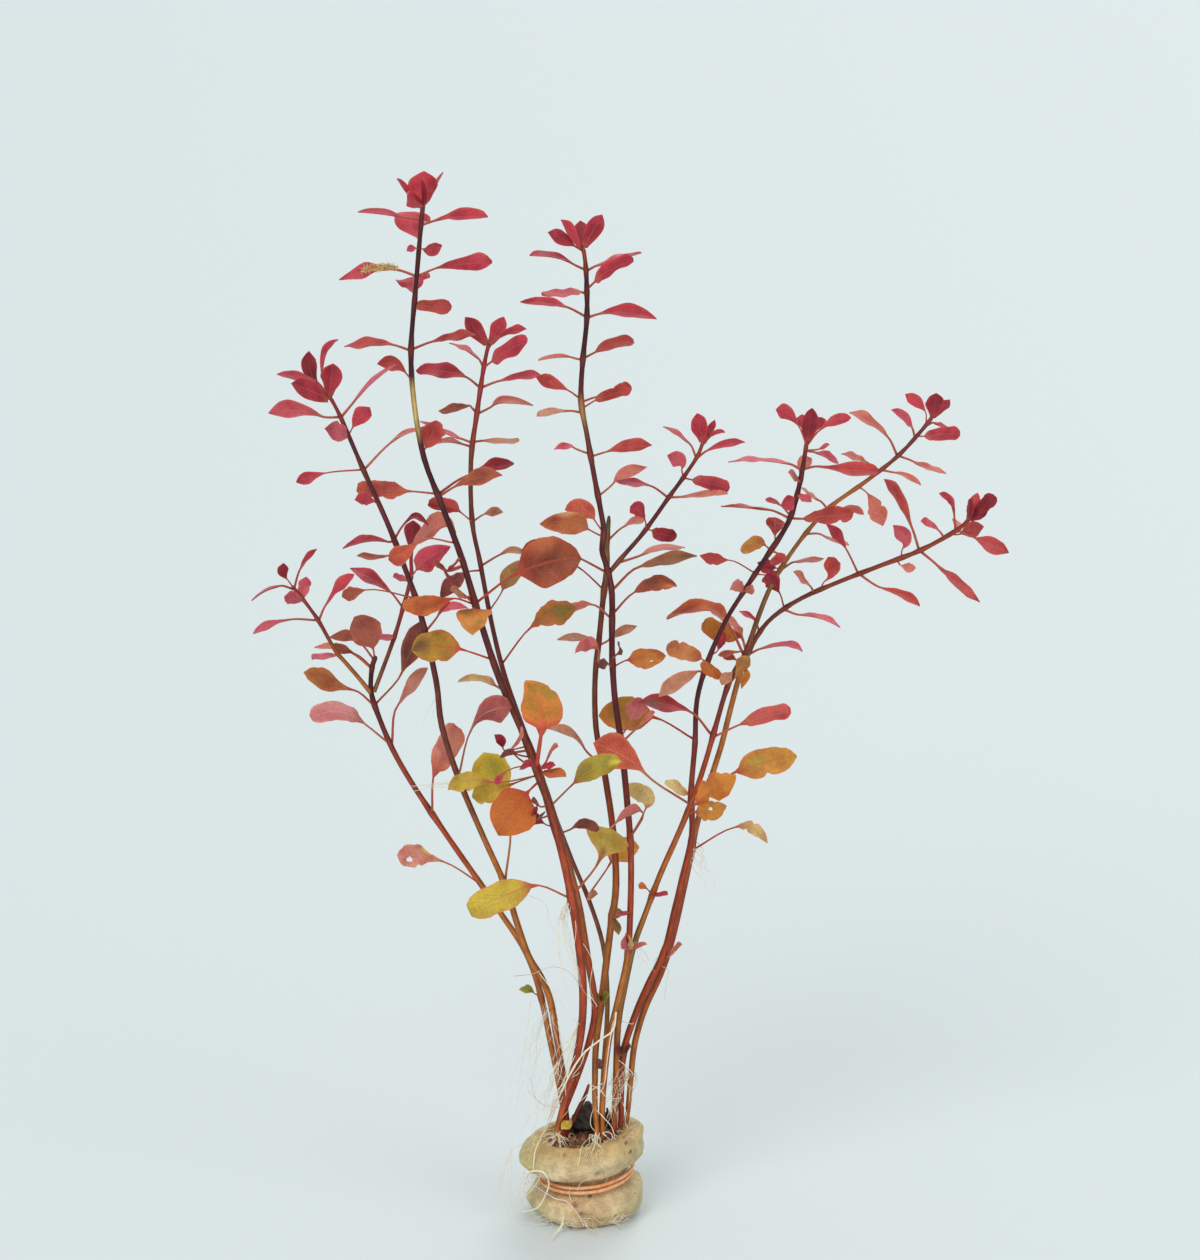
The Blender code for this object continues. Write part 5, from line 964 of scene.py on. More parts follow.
def view_ray(column, row):
    forward = Vector((0.0, cos(VIEW_PITCH), -sin(VIEW_PITCH)))
    upward = Vector((0.0, sin(VIEW_PITCH), cos(VIEW_PITCH)))
    right = (column - PICTURE_CENTRE[0]) / FOCAL_PIXELS
    down = (row - PICTURE_CENTRE[1]) / FOCAL_PIXELS
    return forward + Vector((right, 0.0, 0.0)) - down * upward


EYE = -VIEW_DISTANCE * view_ray(*FOOT_SIGHTING)


def sighting(column, row, depth):
    """The point in space that is seen at this column and row, at a depth in millimetres along +Y."""
    ray = view_ray(column, row)
    return EYE + ray * ((depth * MM - EYE.y) / ray.y)


def seed_of(name):
    return Random(crc32(name.encode()))


def clamp(value, high=1.0):
    return min(high, max(0.0, value))


def linear(colour):
    """A colour as a screen shows it, from 0 to 255, as the share of light it gives back."""
    return tuple(((value / 255 + 0.055) / 1.055) ** 2.4 for value in colour)


def value_at(table, key):
    """Reads a falling table of (key, value) pairs, with straight lines between them."""
    if key >= table[0][0]:
        return table[0][1]
    for (high, first), (low, second) in zip(table, table[1:]):
        if key >= low:
            share = (high - key) / (high - low)
            if isinstance(first, tuple):
                return mix(first, second, share)
            return first + (second - first) * share
    return table[-1][1]


def smooth_path(points, steps):
    """A smooth curve through the points, with this many steps between each two."""
    path = []
    last = len(points) - 1
    for k in range(last):
        before = points[max(0, k - 1)]
        start = points[k]
        end = points[k + 1]
        after = points[min(last, k + 2)]
        for step in range(steps):
            t = step / steps
            path.append(0.5 * (2 * start + (end - before) * t
                               + (2 * before - 5 * start + 4 * end - after) * t * t
                               + (3 * start - before - 3 * end + after) * t * t * t))
    path.append(points[-1].copy())
    return path


def spread(values, steps):
    """The values at the same places as smooth_path gives, on straight lines between them."""
    fine = []
    for first, second in zip(values, values[1:]):
        fine += [first + (second - first) * step / steps for step in range(steps)]
    return fine + [values[-1]]


def turns(count):
    """The angles of this many even steps round a circle."""
    return [2 * pi * k / count for k in range(count)]


class Surface:
    """Collects the points, faces and colours of one piece."""

    def __init__(self):
        self.points = []
        self.tones = []
        self.ribs = []
        self.places = []
        self.faces = []
        self.skins = []

    def add_point(self, point, tone, rib=None, place=(0.0, 0.0)):
        self.points.append(tuple(point))
        self.tones.append((*linear(tone), 1.0))
        self.ribs.append((*linear(rib or tone), 1.0))
        self.places.append(place)
        return len(self.points) - 1

    def add_face(self, corners, skin=0):
        self.faces.append(corners)
        self.skins.append(skin)

    def join_rings(self, rings, skin=0):
        """Faces between each ring of points and the next."""
        for lower, upper in zip(rings, rings[1:]):
            for k in range(len(lower)):
                after = (k + 1) % len(lower)
                self.add_face((lower[k], lower[after], upper[after], upper[k]), skin)

    def cap_rings(self, rings, skin=0):
        """Closes both ends of a row of rings."""
        self.add_face(tuple(reversed(rings[0])), skin)
        self.add_face(tuple(rings[-1]), skin)

    def make(self, name, skins):
        """The finished object, riding on the bunch."""
        mesh = bpy.data.meshes.new(name)
        mesh.from_pydata(self.points, [], self.faces)
        tone = mesh.color_attributes.new("tone", "FLOAT_COLOR", "POINT")
        rib = mesh.color_attributes.new("rib", "FLOAT_COLOR", "POINT")
        tone.data.foreach_set("color", [value for entry in self.tones for value in entry])
        rib.data.foreach_set("color", [value for entry in self.ribs for value in entry])
        layer = mesh.uv_layers.new(name="place")
        corners = [value for face in self.faces for corner in face for value in self.places[corner]]
        layer.data.foreach_set("uv", corners)
        for skin in skins:
            mesh.materials.append(skin)
        mesh.polygons.foreach_set("material_index", self.skins)
        mesh.shade_smooth()
        mesh.update()
        piece = bpy.data.objects.new(name, mesh)
        bpy.context.scene.collection.objects.link(piece)
        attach(piece, "root")
        return piece


def add_tube(surface, points, radii, tones, sides, skin=0, closed=False, streak=0.0):
    """A round tube along the points, with its ends closed unless it is a loop.

    streak paints shade into the colour: lighter along its front and back, and darker along its sides, as
    light falls on a round stem.
    """
    count = len(points)
    side = Vector((1.0, 0.0, 0.0))
    rings = []
    run = 0.0
    for k, (point, radius, tone) in enumerate(zip(points, radii, tones)):
        if closed:
            heading = points[(k + 1) % count] - points[k - 1]
        else:
            heading = points[min(k + 1, count - 1)] - points[max(k - 1, 0)]
        heading.normalize()
        if k:
            run += (point - points[k - 1]).length
        side = side - heading * side.dot(heading)
        if side.length < 0.1:
            side = heading.orthogonal()
        side.normalize()
        other = heading.cross(side)
        ring = []
        for j, turn in enumerate(turns(sides)):
            offset = side * cos(turn) * radius + other * sin(turn) * radius
            # Painted shade: lighter where the surface faces front or back, darker along the sides
            light = 1.0 + streak * (2.0 * (offset.y / radius) ** 4 - 1.0)
            shade = tuple(value * light for value in tone)
            ring.append(surface.add_point(point + offset, shade, place=(j / sides, run / MM)))
        rings.append(ring)
    if closed:
        surface.join_rings(rings + rings[:1], skin)
    else:
        surface.join_rings(rings, skin)
        surface.cap_rings(rings, skin)


def stem_course(shoot):
    """The stem's smooth centre line with its radii and the picture rows along it."""
    points = [sighting(x, y, value_at(shoot.depths, y)) for x, y in shoot.path]
    radii = [width * PIXEL / 2 for width in shoot.widths]
    rows = [float(y) for x, y in shoot.path]
    if shoot.rooted:
        foot = MOUTH_CENTRE + FOOT_REACH * (points[0] - MOUTH_CENTRE)
        foot.z = PLUG_FLOOR_HEIGHT + GAP
        points.insert(0, foot)
        radii.insert(0, radii[0])
        rows.insert(0, rows[0])
    return smooth_path(points, STEM_STEPS), spread(radii, STEM_STEPS), spread(rows, STEM_STEPS)


def nearest_on_axis(shoot, place):
    """The column, row and depth of the stem's centre line nearest to a place in the picture."""
    best = None
    for (x0, y0), (x1, y1) in zip(shoot.path, shoot.path[1:]):
        run = (x1 - x0) ** 2 + (y1 - y0) ** 2
        along = clamp(((place[0] - x0) * (x1 - x0) + (place[1] - y0) * (y1 - y0)) / run)
        x = x0 + along * (x1 - x0)
        y = y0 + along * (y1 - y0)
        depth0 = value_at(shoot.depths, y0)
        depth1 = value_at(shoot.depths, y1)
        away = (place[0] - x) ** 2 + (place[1] - y) ** 2
        if best is None or away < best[0]:
            best = (away, x, y, depth0 + along * (depth1 - depth0))
    return best[1:]


def add_stem(surface, shoot):
    """The stem with a small swelling at each pair of leaves."""
    points, radii, rows = stem_course(shoot)
    knots = [sighting(*nearest_on_axis(shoot, leaf.base)) for leaf in shoot.leaves]
    shift = seed_of(shoot.name).uniform(0, 50)
    tones = []
    for k, (point, row) in enumerate(zip(points, rows)):
        near = min(((point - knot).length for knot in knots), default=1.0)
        swell = exp(-(near / NODE_LENGTH) ** 2)
        lump = 1 + STEM_UNEVENNESS * noise.noise(Vector((shift, row * 0.05, 0)))
        radii[k] *= lump * (1 + NODE_SWELL * swell)
        vary = 1 + STEM_MOTTLE * noise.noise(Vector((shift, row * 0.03, 5.0)))
        tone = tuple(c * vary for c in value_at(STEM_TONES[shoot.name], row))
        tones.append(mix(tone, KNOT, NODE_REDNESS * swell))
    radii[-1] *= STEM_TIP
    add_tube(surface, points, radii, tones, STEM_SIDES, streak=STEM_PAINTED_SHADE)


def leaf_knots(shoot, leaf):
    """Root, neck, middle and tip in space, the blade's full width and its width direction."""
    x, y, depth = nearest_on_axis(shoot, leaf.base)
    marks = [(x, y), leaf.neck, leaf.middle, leaf.tip]
    steps = [sqrt((b[0] - a[0]) ** 2 + (b[1] - a[1]) ** 2) for a, b in zip(marks, marks[1:])]
    run = 0.0
    knots = [sighting(x, y, depth)]
    for mark, step in zip(marks[1:], steps):
        run += step
        knots.append(sighting(*mark, depth - LEAF_REACH * leaf.near * run / sum(steps)))
    root, neck, middle, tip = knots
    blade_length = (middle - neck).length + (tip - middle).length
    seen = leaf.seen * PIXEL
    wide = max(seen, LEAF_PROPORTION * blade_length)
    along = Vector((tip.x - root.x, 0.0, tip.z - root.z)).normalized()
    looking_down = VIEW_PITCH + atan((y - PICTURE_CENTRE[1]) / FOCAL_PIXELS)
    roll = acos(min(1.0, seen / wide)) + atan(abs(along.x) * tan(looking_down))
    upright = Vector((-along.z, 0.0, along.x))
    if upright.z < 0:
        upright = -upright
    across = cos(roll) * upright + sin(roll) * Vector((0.0, 1.0, 0.0))
    return knots, wide, across


def on_blade(knots, t):
    """A place on the blade's midrib, from the petiole's end at t = 0 to the tip at t = 1."""
    neck, middle, tip = knots[1:]
    return neck * (1 - t) * (1 - 2 * t) + middle * 4 * t * (1 - t) + tip * t * (2 * t - 1)


def leaf_centres(knots, blade_steps):
    """The leaf's centre line: the petiole bends smoothly into the blade's midrib."""
    root, neck = knots[:2]
    start_way = (neck - root) * PETIOLE_PULL
    end_way = (on_blade(knots, 0.12) - neck).normalized() * (neck - root).length * PETIOLE_PULL
    centres = []
    for k in range(PETIOLE_STEPS):
        t = k / PETIOLE_STEPS
        centres.append(root * (2 * t ** 3 - 3 * t ** 2 + 1) + start_way * (t ** 3 - 2 * t ** 2 + t)
                       + neck * (3 * t ** 2 - 2 * t ** 3) + end_way * (t ** 3 - t ** 2))
    return centres + [on_blade(knots, k / (blade_steps - 1)) for k in range(blade_steps)]


def edge_bites(rng, ragged, steps):
    """How much of the half width one edge of the blade has along it: it sways, and bites are missing."""
    start = rng.uniform(0, 100)
    shares = []
    for k in range(steps):
        t = k / (steps - 1)
        bite = max(0.0, noise.noise(Vector((start, t * 7.0, 0.0))) - 0.05)
        sway = 1.0 + 0.20 * noise.noise(Vector((start + 40.0, t * 3.0, 0.0)))
        shares.append(sway * (1.0 - min(0.75, ragged * 3.2 * bite)))
    return shares


def leaf_look(leaf, rng):
    """The leaf's own look, or else one drawn for it: leaves low on a stem are more ragged."""
    look = LOOKS.get(leaf.name, LOOKS.get(leaf.tip))
    if look:
        return look
    outline = "crown" if leaf.name == "crown" else rng.choice(("lance", "lance", "spoon"))
    outline = SHAPES.get(leaf.tip, outline)
    ragged = rng.choice((0.0, 0.03, 0.08, 0.15)) if leaf.base[1] > YOUNG_ROW else 0.02
    return Look(outline, ragged, rng.uniform(0.05, 0.32), rng.uniform(0.03, 0.16))


def leaf_colour(point, number, tone, look, s, t, in_blade):
    """The colour at a place on a leaf: patchy, like its rib at its edges and base, and stained."""
    speck = noise.noise(point * 260.0 + Vector((number * 3.1, 0, 0)))
    speck += 0.5 * noise.noise(point * 700.0)
    colour = mix(tone.blade, tone.patch, clamp(0.25 + 1.5 * speck))
    rim = exp(-((1 - abs(s)) / 0.12) ** 2) * 0.45 * in_blade
    colour = mix(colour, tone.rib, rim)
    colour = mix(colour, tone.rib, (1 - in_blade) + in_blade * 0.5 * exp(-t * 6))
    colour = mix(colour, STALK, 0.6 * (1 - in_blade))
    for along, across, radius, stain in look.stains:
        away = sqrt((t - along) ** 2 + ((s - across) * 0.4) ** 2) / radius
        colour = mix(colour, stain, clamp(1.6 - 1.6 * away) * in_blade)
    return colour


def in_hole(look, s, t):
    return any((t - along) ** 2 + ((s - across) * 0.35) ** 2 < radius * radius
               for along, across, radius in look.holes)


def add_leaf(surface, shoot, leaf, number, skin):
    """A thin leaf with its petiole: one sheet of cells, given a thickness and closed at its edges.

    Across the leaf s runs from -1 to 1, and along its blade t runs from 0 to 1.
    """
    rng = seed_of(f"{shoot.name} {number}")
    knots, wide, across = leaf_knots(shoot, leaf)
    look = leaf_look(leaf, rng)
    tone = LEAF_TONES.get(leaf.name, LEAF_TONES.get(leaf.tip, TONES[leaf.tone]))
    twist = rng.uniform(-0.30, 0.30)
    curl = rng.uniform(-0.16, 0.10)
    phase = rng.uniform(0, 2 * pi)
    ripple = rng.uniform(1.2, 2.2)
    blade_steps = CLOSE_STEPS if look.holes or look.ragged > VERY_RAGGED else BLADE_STEPS
    spans = CLOSE_ACROSS if look.holes else ACROSS
    centres = leaf_centres(knots, blade_steps)
    chord = (knots[-1] - knots[0]).normalized()
    facing = 1.0 if chord.cross(across).z > 0 else -1.0
    bites = [edge_bites(rng, look.ragged, blade_steps) for _ in range(2)]
    outline = OUTLINES[look.outline][::-1]
    vein_shift = rng.uniform(0.9, 1.1)
    shade = rng.uniform(0.93, 1.06)
    slim = (PETIOLE_HALF_WIDTH + PETIOLE_SPREAD * wide) * look.stalk
    tops = []
    bottoms = []
    for k, centre in enumerate(centres):
        heading = (centres[min(k + 1, len(centres) - 1)] - centres[max(0, k - 1)]).normalized()
        step = k - PETIOLE_STEPS
        t = max(0.0, step / (blade_steps - 1))
        in_blade = min(1.0, t * BLADE_ONSET)
        side = (across - heading * across.dot(heading)).normalized()
        upward = heading.cross(side) * facing
        turn = twist * t
        side, upward = side * cos(turn) + upward * sin(turn), upward * cos(turn) - side * sin(turn)
        stalk = slim * (1.25 - 0.35 * k / PETIOLE_STEPS if step < 0 else 0.9)
        half = stalk
        if step >= 0:
            half = max(stalk * (1 - t) ** 2, value_at(outline, t) * wide / 2)
        top_row = []
        bottom_row = []
        for s in spans:
            width = half
            if step >= 0 and s:
                width = half * bites[s > 0][step]
            lift = look.cup * s * s * half * in_blade
            lift += look.wave * half * s * abs(s) * sin(2 * pi * ripple * t + phase) * in_blade
            lift -= GROOVE_DEPTH * exp(-(s / 0.14) ** 2) * in_blade * (1 - t)
            droop = curl * wide * t * t
            point = centre + side * s * width + upward * (lift + droop)
            thickness = BLADE_THICKNESS * (1 - 0.6 * s * s)
            thickness += (MIDRIB_DEPTH * (1 - 0.75 * t)) * exp(-(s / 0.15) ** 2) * in_blade
            thickness += 2 * stalk * (1 - in_blade) * sqrt(max(0.0, 1 - s * s))
            colour = leaf_colour(point, number, tone, look, s, t, in_blade)
            colour = tuple(min(255.0, c * shade) for c in colour)
            place = (0.5 + s / 2, t * vein_shift if step >= 0 else -0.02)
            top_row.append(surface.add_point(point, colour, tone.rib, place))
            bottom_row.append(surface.add_point(point - upward * thickness, colour, tone.rib, place))
        tops.append(top_row)
        bottoms.append(bottom_row)

    kept = []
    for row in range(len(centres) - 1):
        t = (row + 0.5 - PETIOLE_STEPS) / (blade_steps - 1)
        kept.append([row < PETIOLE_STEPS or not in_hole(look, (left + right) / 2, t)
                     for left, right in zip(spans, spans[1:])])
    close_sheet(surface, tops, bottoms, kept, facing > 0, skin)


def close_sheet(surface, tops, bottoms, kept, forward, skin):
    """Both faces of a sheet's kept cells, and walls along its edges and round its holes."""
    rows = len(kept)
    columns = len(kept[0])
    for row in range(rows):
        for column in range(columns):
            if not kept[row][column]:
                continue
            cell = ((row, column), (row, column + 1), (row + 1, column + 1), (row + 1, column))
            surface.add_face(tuple(tops[r][c] for r, c in (cell if forward else cell[::-1])), skin)
            surface.add_face(tuple(bottoms[r][c] for r, c in (cell[::-1] if forward else cell)), skin)
            beside = ((row - 1, column), (row, column + 1), (row + 1, column), (row, column - 1))
            for k, (r, c) in enumerate(beside):
                if 0 <= r < rows and 0 <= c < columns and kept[r][c]:
                    continue
                (r0, c0), (r1, c1) = cell[k], cell[(k + 1) % 4]
                wall = (tops[r0][c0], bottoms[r0][c0], bottoms[r1][c1], tops[r1][c1])
                surface.add_face(wall if forward else wall[::-1], skin)


def build_shoots(stem_skin, leaf_skin):
    """Each shoot is one piece; a large old leaf is a piece of its own."""
    for shoot in SHOOTS:
        surface = Surface()
        add_stem(surface, shoot)
        for number, leaf in enumerate(shoot.leaves):
            if leaf.name in LOOKS:
                own = Surface()
                add_leaf(own, shoot, leaf, number, 0)
                piece = own.make(leaf.name + "_fine", [leaf_skin])
                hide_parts(leaf.name)
            else:
                add_leaf(surface, shoot, leaf, number, 1)
        piece = surface.make(shoot.name + "_fine", [stem_skin, leaf_skin])
        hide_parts(shoot.name)


def foam_tone(point, height):
    """Beige foam, olive-yellow towards its thin edges, with painted shade in its narrow waist, a few dark
    specks and rusty stains.
    """
    colour = mix(FOAM_BEIGE, FOAM_PALE, clamp(0.4 + 1.1 * noise.noise(point * 150.0)))
    edge = clamp((abs(point.x) / (15.0 * MM) - 0.45) * 1.6, 0.9)
    colour = mix(colour, FOAM_OLIVE, edge)
    crest = clamp((height - 16.5) * 0.16, 0.7)
    colour = mix(colour, FOAM_OCHRE, crest)
    # Painted shade in the narrow waist under the upper bulge, where the band sits
    waist = exp(-((height - 10.2) / 2.2) ** 2)
    colour = mix(colour, FOAM_SHADE, 0.6 * waist)
    if point.y >= 0:
        return colour
    for x, z, radius, dark in FOAM_SPECKS:
        away = sqrt((point.x / MM - x) ** 2 + (point.z / MM - z) ** 2) / radius
        colour = mix(colour, dark, clamp(1.5 - 1.5 * away, 0.9))
    return colour


def build_plug(skin):
    """The foam plug: lumpy bulges above and below the band, a torn rim and a mouth for the stems."""
    rings = smooth_path([Vector(ring[:3]) for ring in PLUG_RINGS], PLUG_STEPS)
    shifts = smooth_path([Vector(ring[3:6]) for ring in PLUG_RINGS], PLUG_STEPS)
    lumps = spread([ring[6] for ring in PLUG_RINGS], PLUG_STEPS)
    surface = Surface()
    grid = []
    for (height, width, depth), shift, lump in zip(rings, shifts, lumps):
        row = []
        for turn in turns(PLUG_SIDES):
            swell = 1 + lump * (sin(3 * turn + height) + 0.7 * sin(5 * turn - 0.6 * height))
            x = (shift.x + width * swell * cos(turn)) * MM
            y = depth * swell * sin(turn) * MM
            point = Vector((x, y, height * MM + shift.y * x + shift.z * y))
            outward = Vector((x, y, 0.0)).normalized()
            loose = clamp(point.z / (2.0 * MM))
            push = 0.55 * noise.noise(point * 190.0) + 0.25 * noise.noise(point * 480.0)
            push += 0.10 * noise.noise(point * 1300.0)
            crease = max(0.0, noise.noise(point * 150.0 + Vector((9.0, 3.0, 1.0))) - 0.12)
            point += outward * (push - 1.6 * crease) * MM * loose * 0.7
            point.z += 0.35 * noise.noise(point * 300.0 + Vector((4.0, 0, 0))) * MM * loose
            point.z = max(0.0, point.z)
            row.append(surface.add_point(point, foam_tone(point, height)))
        grid.append(row)
    surface.join_rings(grid)
    surface.cap_rings(grid)
    piece = surface.make("foam_plug_fine", [skin])
    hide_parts("foam_plug")


def build_band(skin):
    """One rubber band wound twice round the waist, its two turns crossing once."""
    points = []
    radii = []
    tones = []
    for k in range(BAND_STEPS):
        turn = 4 * pi * k / BAND_STEPS
        half_turn = turn / 2 + BAND_CROSSING
        outward = BAND_THICKNESS / 2 + GAP + BAND_OVERLAP * (1 + sin(half_turn))
        x = WAIST_SHIFT + (WAIST_HALF_WIDTH + outward) * cos(turn)
        y = (WAIST_HALF_DEPTH + outward) * sin(turn)
        z = WAIST_HEIGHT + WAIST_SLOPE * x + BAND_CLIMB * cos(half_turn)
        point = Vector((x, y, z))
        point.z += BAND_WAVER * noise.noise(point * 260.0)
        points.append(point)
        radii.append(BAND_THICKNESS / 2 * (0.92 + 0.12 * noise.noise(point * 700.0)))
        tones.append(mix(BAND_ORANGE, BAND_PALE, clamp(0.5 + noise.noise(point * 500.0))))
    surface = Surface()
    add_tube(surface, points, radii, tones, BAND_SIDES, closed=True)
    piece = surface.make("rubber_band_fine", [skin])
    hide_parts("rubber_band")


def build_clump(skin):
    """The rotted stubs among the stems: a large one, narrow at its top, and a slim one beside it."""
    surface = Surface()
    for x0, y0, z0, half_width, half_depth, half_height, lean in ROTTED_STUBS:
        grid = []
        for j in range(STUB_STEPS + 1):
            rise = pi * j / STUB_STEPS
            row = []
            for turn in turns(STUB_SIDES):
                x = sin(rise) * cos(turn)
                y = sin(rise) * sin(turn)
                z = -cos(rise)
                lump = 1 + 0.08 * sin(5 * x + 2 * z) + 0.06 * sin(7 * y - 3 * z)
                taper = lump * (1 - 0.34 * z)
                point = Vector((x0 + lean * z + half_width * x * taper, y0 + half_depth * y * taper,
                                z0 + half_height * z)) * MM
                push = noise.turbulence(point * 600.0, 3, False) * 0.5 * MM
                point += Vector((x, y, z * 0.3)) * (push - 0.35 * MM)
                tone = mix(CHAR, ASH, clamp(0.4 + noise.noise(point * 900.0)))
                row.append(surface.add_point(point, tone))
            grid.append(row)
        surface.join_rings(grid)
    piece = surface.make("dark_clump_fine", [skin])
    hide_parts("dark_clump")


def wander(rng, start, end, reach, steps):
    """A loose path from start to end that strays by up to reach."""
    path = []
    off = Vector((rng.uniform(0, 90), rng.uniform(0, 90), 0.0))
    goal = end + Vector([rng.uniform(-1, 1) * reach for _ in range(3)])
    begin = start + Vector([rng.uniform(-1, 1) * reach * WANDER_FOOT for _ in range(3)])
    for k in range(steps):
        t = k / (steps - 1)
        bend = noise.noise_vector(off + Vector((t * WANDER_PACE, 0, 0)))
        stray = bend * reach * sin(pi * min(1.0, t + WANDER_LEAD))
        path.append(begin + (goal - begin) * t + stray)
    return path


def add_hair(surface, path, radius, colour, skin=0):
    """A fine root kept above the floor, thinner towards its tip."""
    low = cad_box[0][2] + radius
    points = [Vector((point.x, point.y, max(point.z, low))) for point in path]
    last = len(points) - 1
    radii = [radius * (1 - ROOT_TAPER * k / last) for k in range(len(points))]
    tones = [mix(colour, PALE, clamp(0.3 + 0.5 * noise.noise(point * 400.0))) for point in points]
    add_tube(surface, points, radii, tones, HAIR_SIDES, skin)


def on_crust(turn, out):
    """A place on the sloping mouth of the plug, out being its share of the way to the rim."""
    x = CRUST_CENTRE[0] + CRUST_HALF_WIDTH * out * cos(turn)
    y = CRUST_CENTRE[1] + CRUST_HALF_DEPTH * out * sin(turn)
    return Vector((x, y, CRUST_HEIGHT + CRUST_RISE_RIGHT * x + CRUST_RISE_BACK * y))


def build_crust(skin, root_skin):
    """Old roots and rotted bark matted over the mouth of the plug, with root stubs at its rim."""
    surface = Surface()
    grid = []
    for j in range(CRUST_STEPS + 1):
        out = j / CRUST_STEPS
        row = []
        for turn in turns(CRUST_SIDES):
            point = on_crust(turn, out)
            rough = noise.turbulence(point * 420.0, 4, False) + 0.4 * noise.noise(point * 1500.0)
            point.z += (1.5 * rough - 0.5) * MM * (1 - 0.5 * out ** 3) - 0.9 * MM * out ** 6
            tone = mix(SODDEN, BARK, clamp(0.35 + 0.9 * noise.noise(point * 800.0) + 0.4 * out))
            row.append(surface.add_point(point, tone))
        grid.append(row)
    for inner, outer in zip(grid, grid[1:]):
        for k in range(CRUST_SIDES):
            after = (k + 1) % CRUST_SIDES
            surface.add_face((inner[k], outer[k], outer[after], inner[after]))
    rng = seed_of("crust")
    for _ in range(CRUST_STUBS):
        turn = rng.uniform(0, 2 * pi)
        out = sqrt(rng.uniform(0.10, 1.0))
        start = on_crust(turn, out) + UPWARD * 0.1 * MM
        outward = Vector((cos(turn), sin(turn), 0.0))
        reach = rng.uniform(0.8, 2.4) * MM
        sag = UPWARD * rng.uniform(-0.5, 0.5) * MM
        path = wander(rng, start, start + outward * reach + sag, 0.7 * MM, 7)
        radius = rng.uniform(0.06, 0.12) * MM
        add_hair(surface, path, radius, mix(BARK, SODDEN, rng.uniform(0.0, 0.6)), 1)
    for _ in range(RIM_ROOTS):
        turn = rng.uniform(0, 2 * pi)
        outward = Vector((cos(turn), sin(turn), 0.0))
        start = on_crust(turn, 0.92) + UPWARD * 0.5 * MM
        end = start + outward * rng.uniform(0.8, 2.6) * MM + UPWARD * rng.uniform(-0.5, 0.2) * MM
        path = wander(rng, start, end, 0.6 * MM, 8)
        add_hair(surface, path, rng.uniform(0.08, 0.12) * MM, CREAM, 1)
    piece = surface.make("mouth_crust", [skin, root_skin])


def grown_from(column, row, depth):
    """The end of a root, moved onto the stem that it is seen at, if it is seen at one."""
    best = None
    for shoot in SHOOTS:
        x, y, axis_depth = nearest_on_axis(shoot, (column, row))
        away = sqrt((x - column) ** 2 + (y - row) ** 2)
        gap = abs(axis_depth - depth)
        if away < STEM_CATCH and (best is None or gap < best[0]):
            best = (gap, x, y, axis_depth)
    return sighting(*best[1:]) if best else sighting(column, row, depth)


def build_roots(skin):
    """The main roots in place of their solids, and the fine ones with them."""
    for name, marks in ROOTS.items():
        surface = Surface()
        points = [sighting(*mark) for mark in marks]
        for point in points:
            point.z = max(point.z, ROOT_THICKNESS / 2 + ROOT_CLEARANCE)
        path = smooth_path(points, ROOT_STEPS)
        last = len(path) - 1
        stout = ROOT_THICKNESS * ROOT_STOUTNESS[name]
        radii = [stout * (1 - ROOT_TAPER * k / last) for k in range(len(path))]
        tones = [mix(PALE, CREAM, clamp(0.5 + noise.noise(point * 300.0))) for point in path]
        add_tube(surface, path, radii, tones, ROOT_SIDES)
        piece = surface.make(name + "_fine", [skin])
        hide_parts(name)
    surface = Surface()
    for colour, radius, marks in FINE_ROOTS:
        points = [sighting(*mark) for mark in marks]
        points[0] = grown_from(*marks[0])
        points[-1] = grown_from(*marks[-1])
        add_hair(surface, smooth_path(points, ROOT_STEPS), radius * MM, colour)
    for number, (colour, radius, start, end, reach, count) in enumerate(ROOT_BUSHES):
        rng = seed_of(f"bush {number}")
        first = grown_from(*start)
        last = sighting(*end)
        for _ in range(count):
            path = wander(rng, first, last, reach * MM, 12)
            thickness = radius * MM * rng.uniform(0.8, 1.3)
            add_hair(surface, path, thickness, mix(colour, DULL, rng.uniform(0, 0.35)))
    piece = surface.make("fine_roots", [skin])


def build_tuft(skin):
    """A tuft of yellow algae caught on the leaf below the top of the tallest stem."""
    surface = Surface()
    rng = seed_of("algae")
    leaf = next(leaf for leaf in TALLEST_STEM.leaves if leaf.tip == ALGAE_LEAF)
    knots, wide, across = leaf_knots(TALLEST_STEM, leaf)
    for _ in range(ALGAE_THREADS):
        t = rng.uniform(0.02, 0.66)
        out = rng.uniform(-0.5, 0.5) * wide * min(0.8, 0.2 + 1.6 * t)
        start = on_blade(knots, t) + across * out + UPWARD * rng.uniform(0.0, 0.5) * MM
        way = Vector([rng.uniform(-1.0, 1.0) for _ in range(3)])
        path = wander(rng, start, start + way * 0.5 * MM, 0.4 * MM, 5)
        add_hair(surface, path, ALGAE_RADIUS, mix(ALGAE_YELLOW, ALGAE_BROWN, rng.random()))
    piece = surface.make("algae_tuft", [skin])


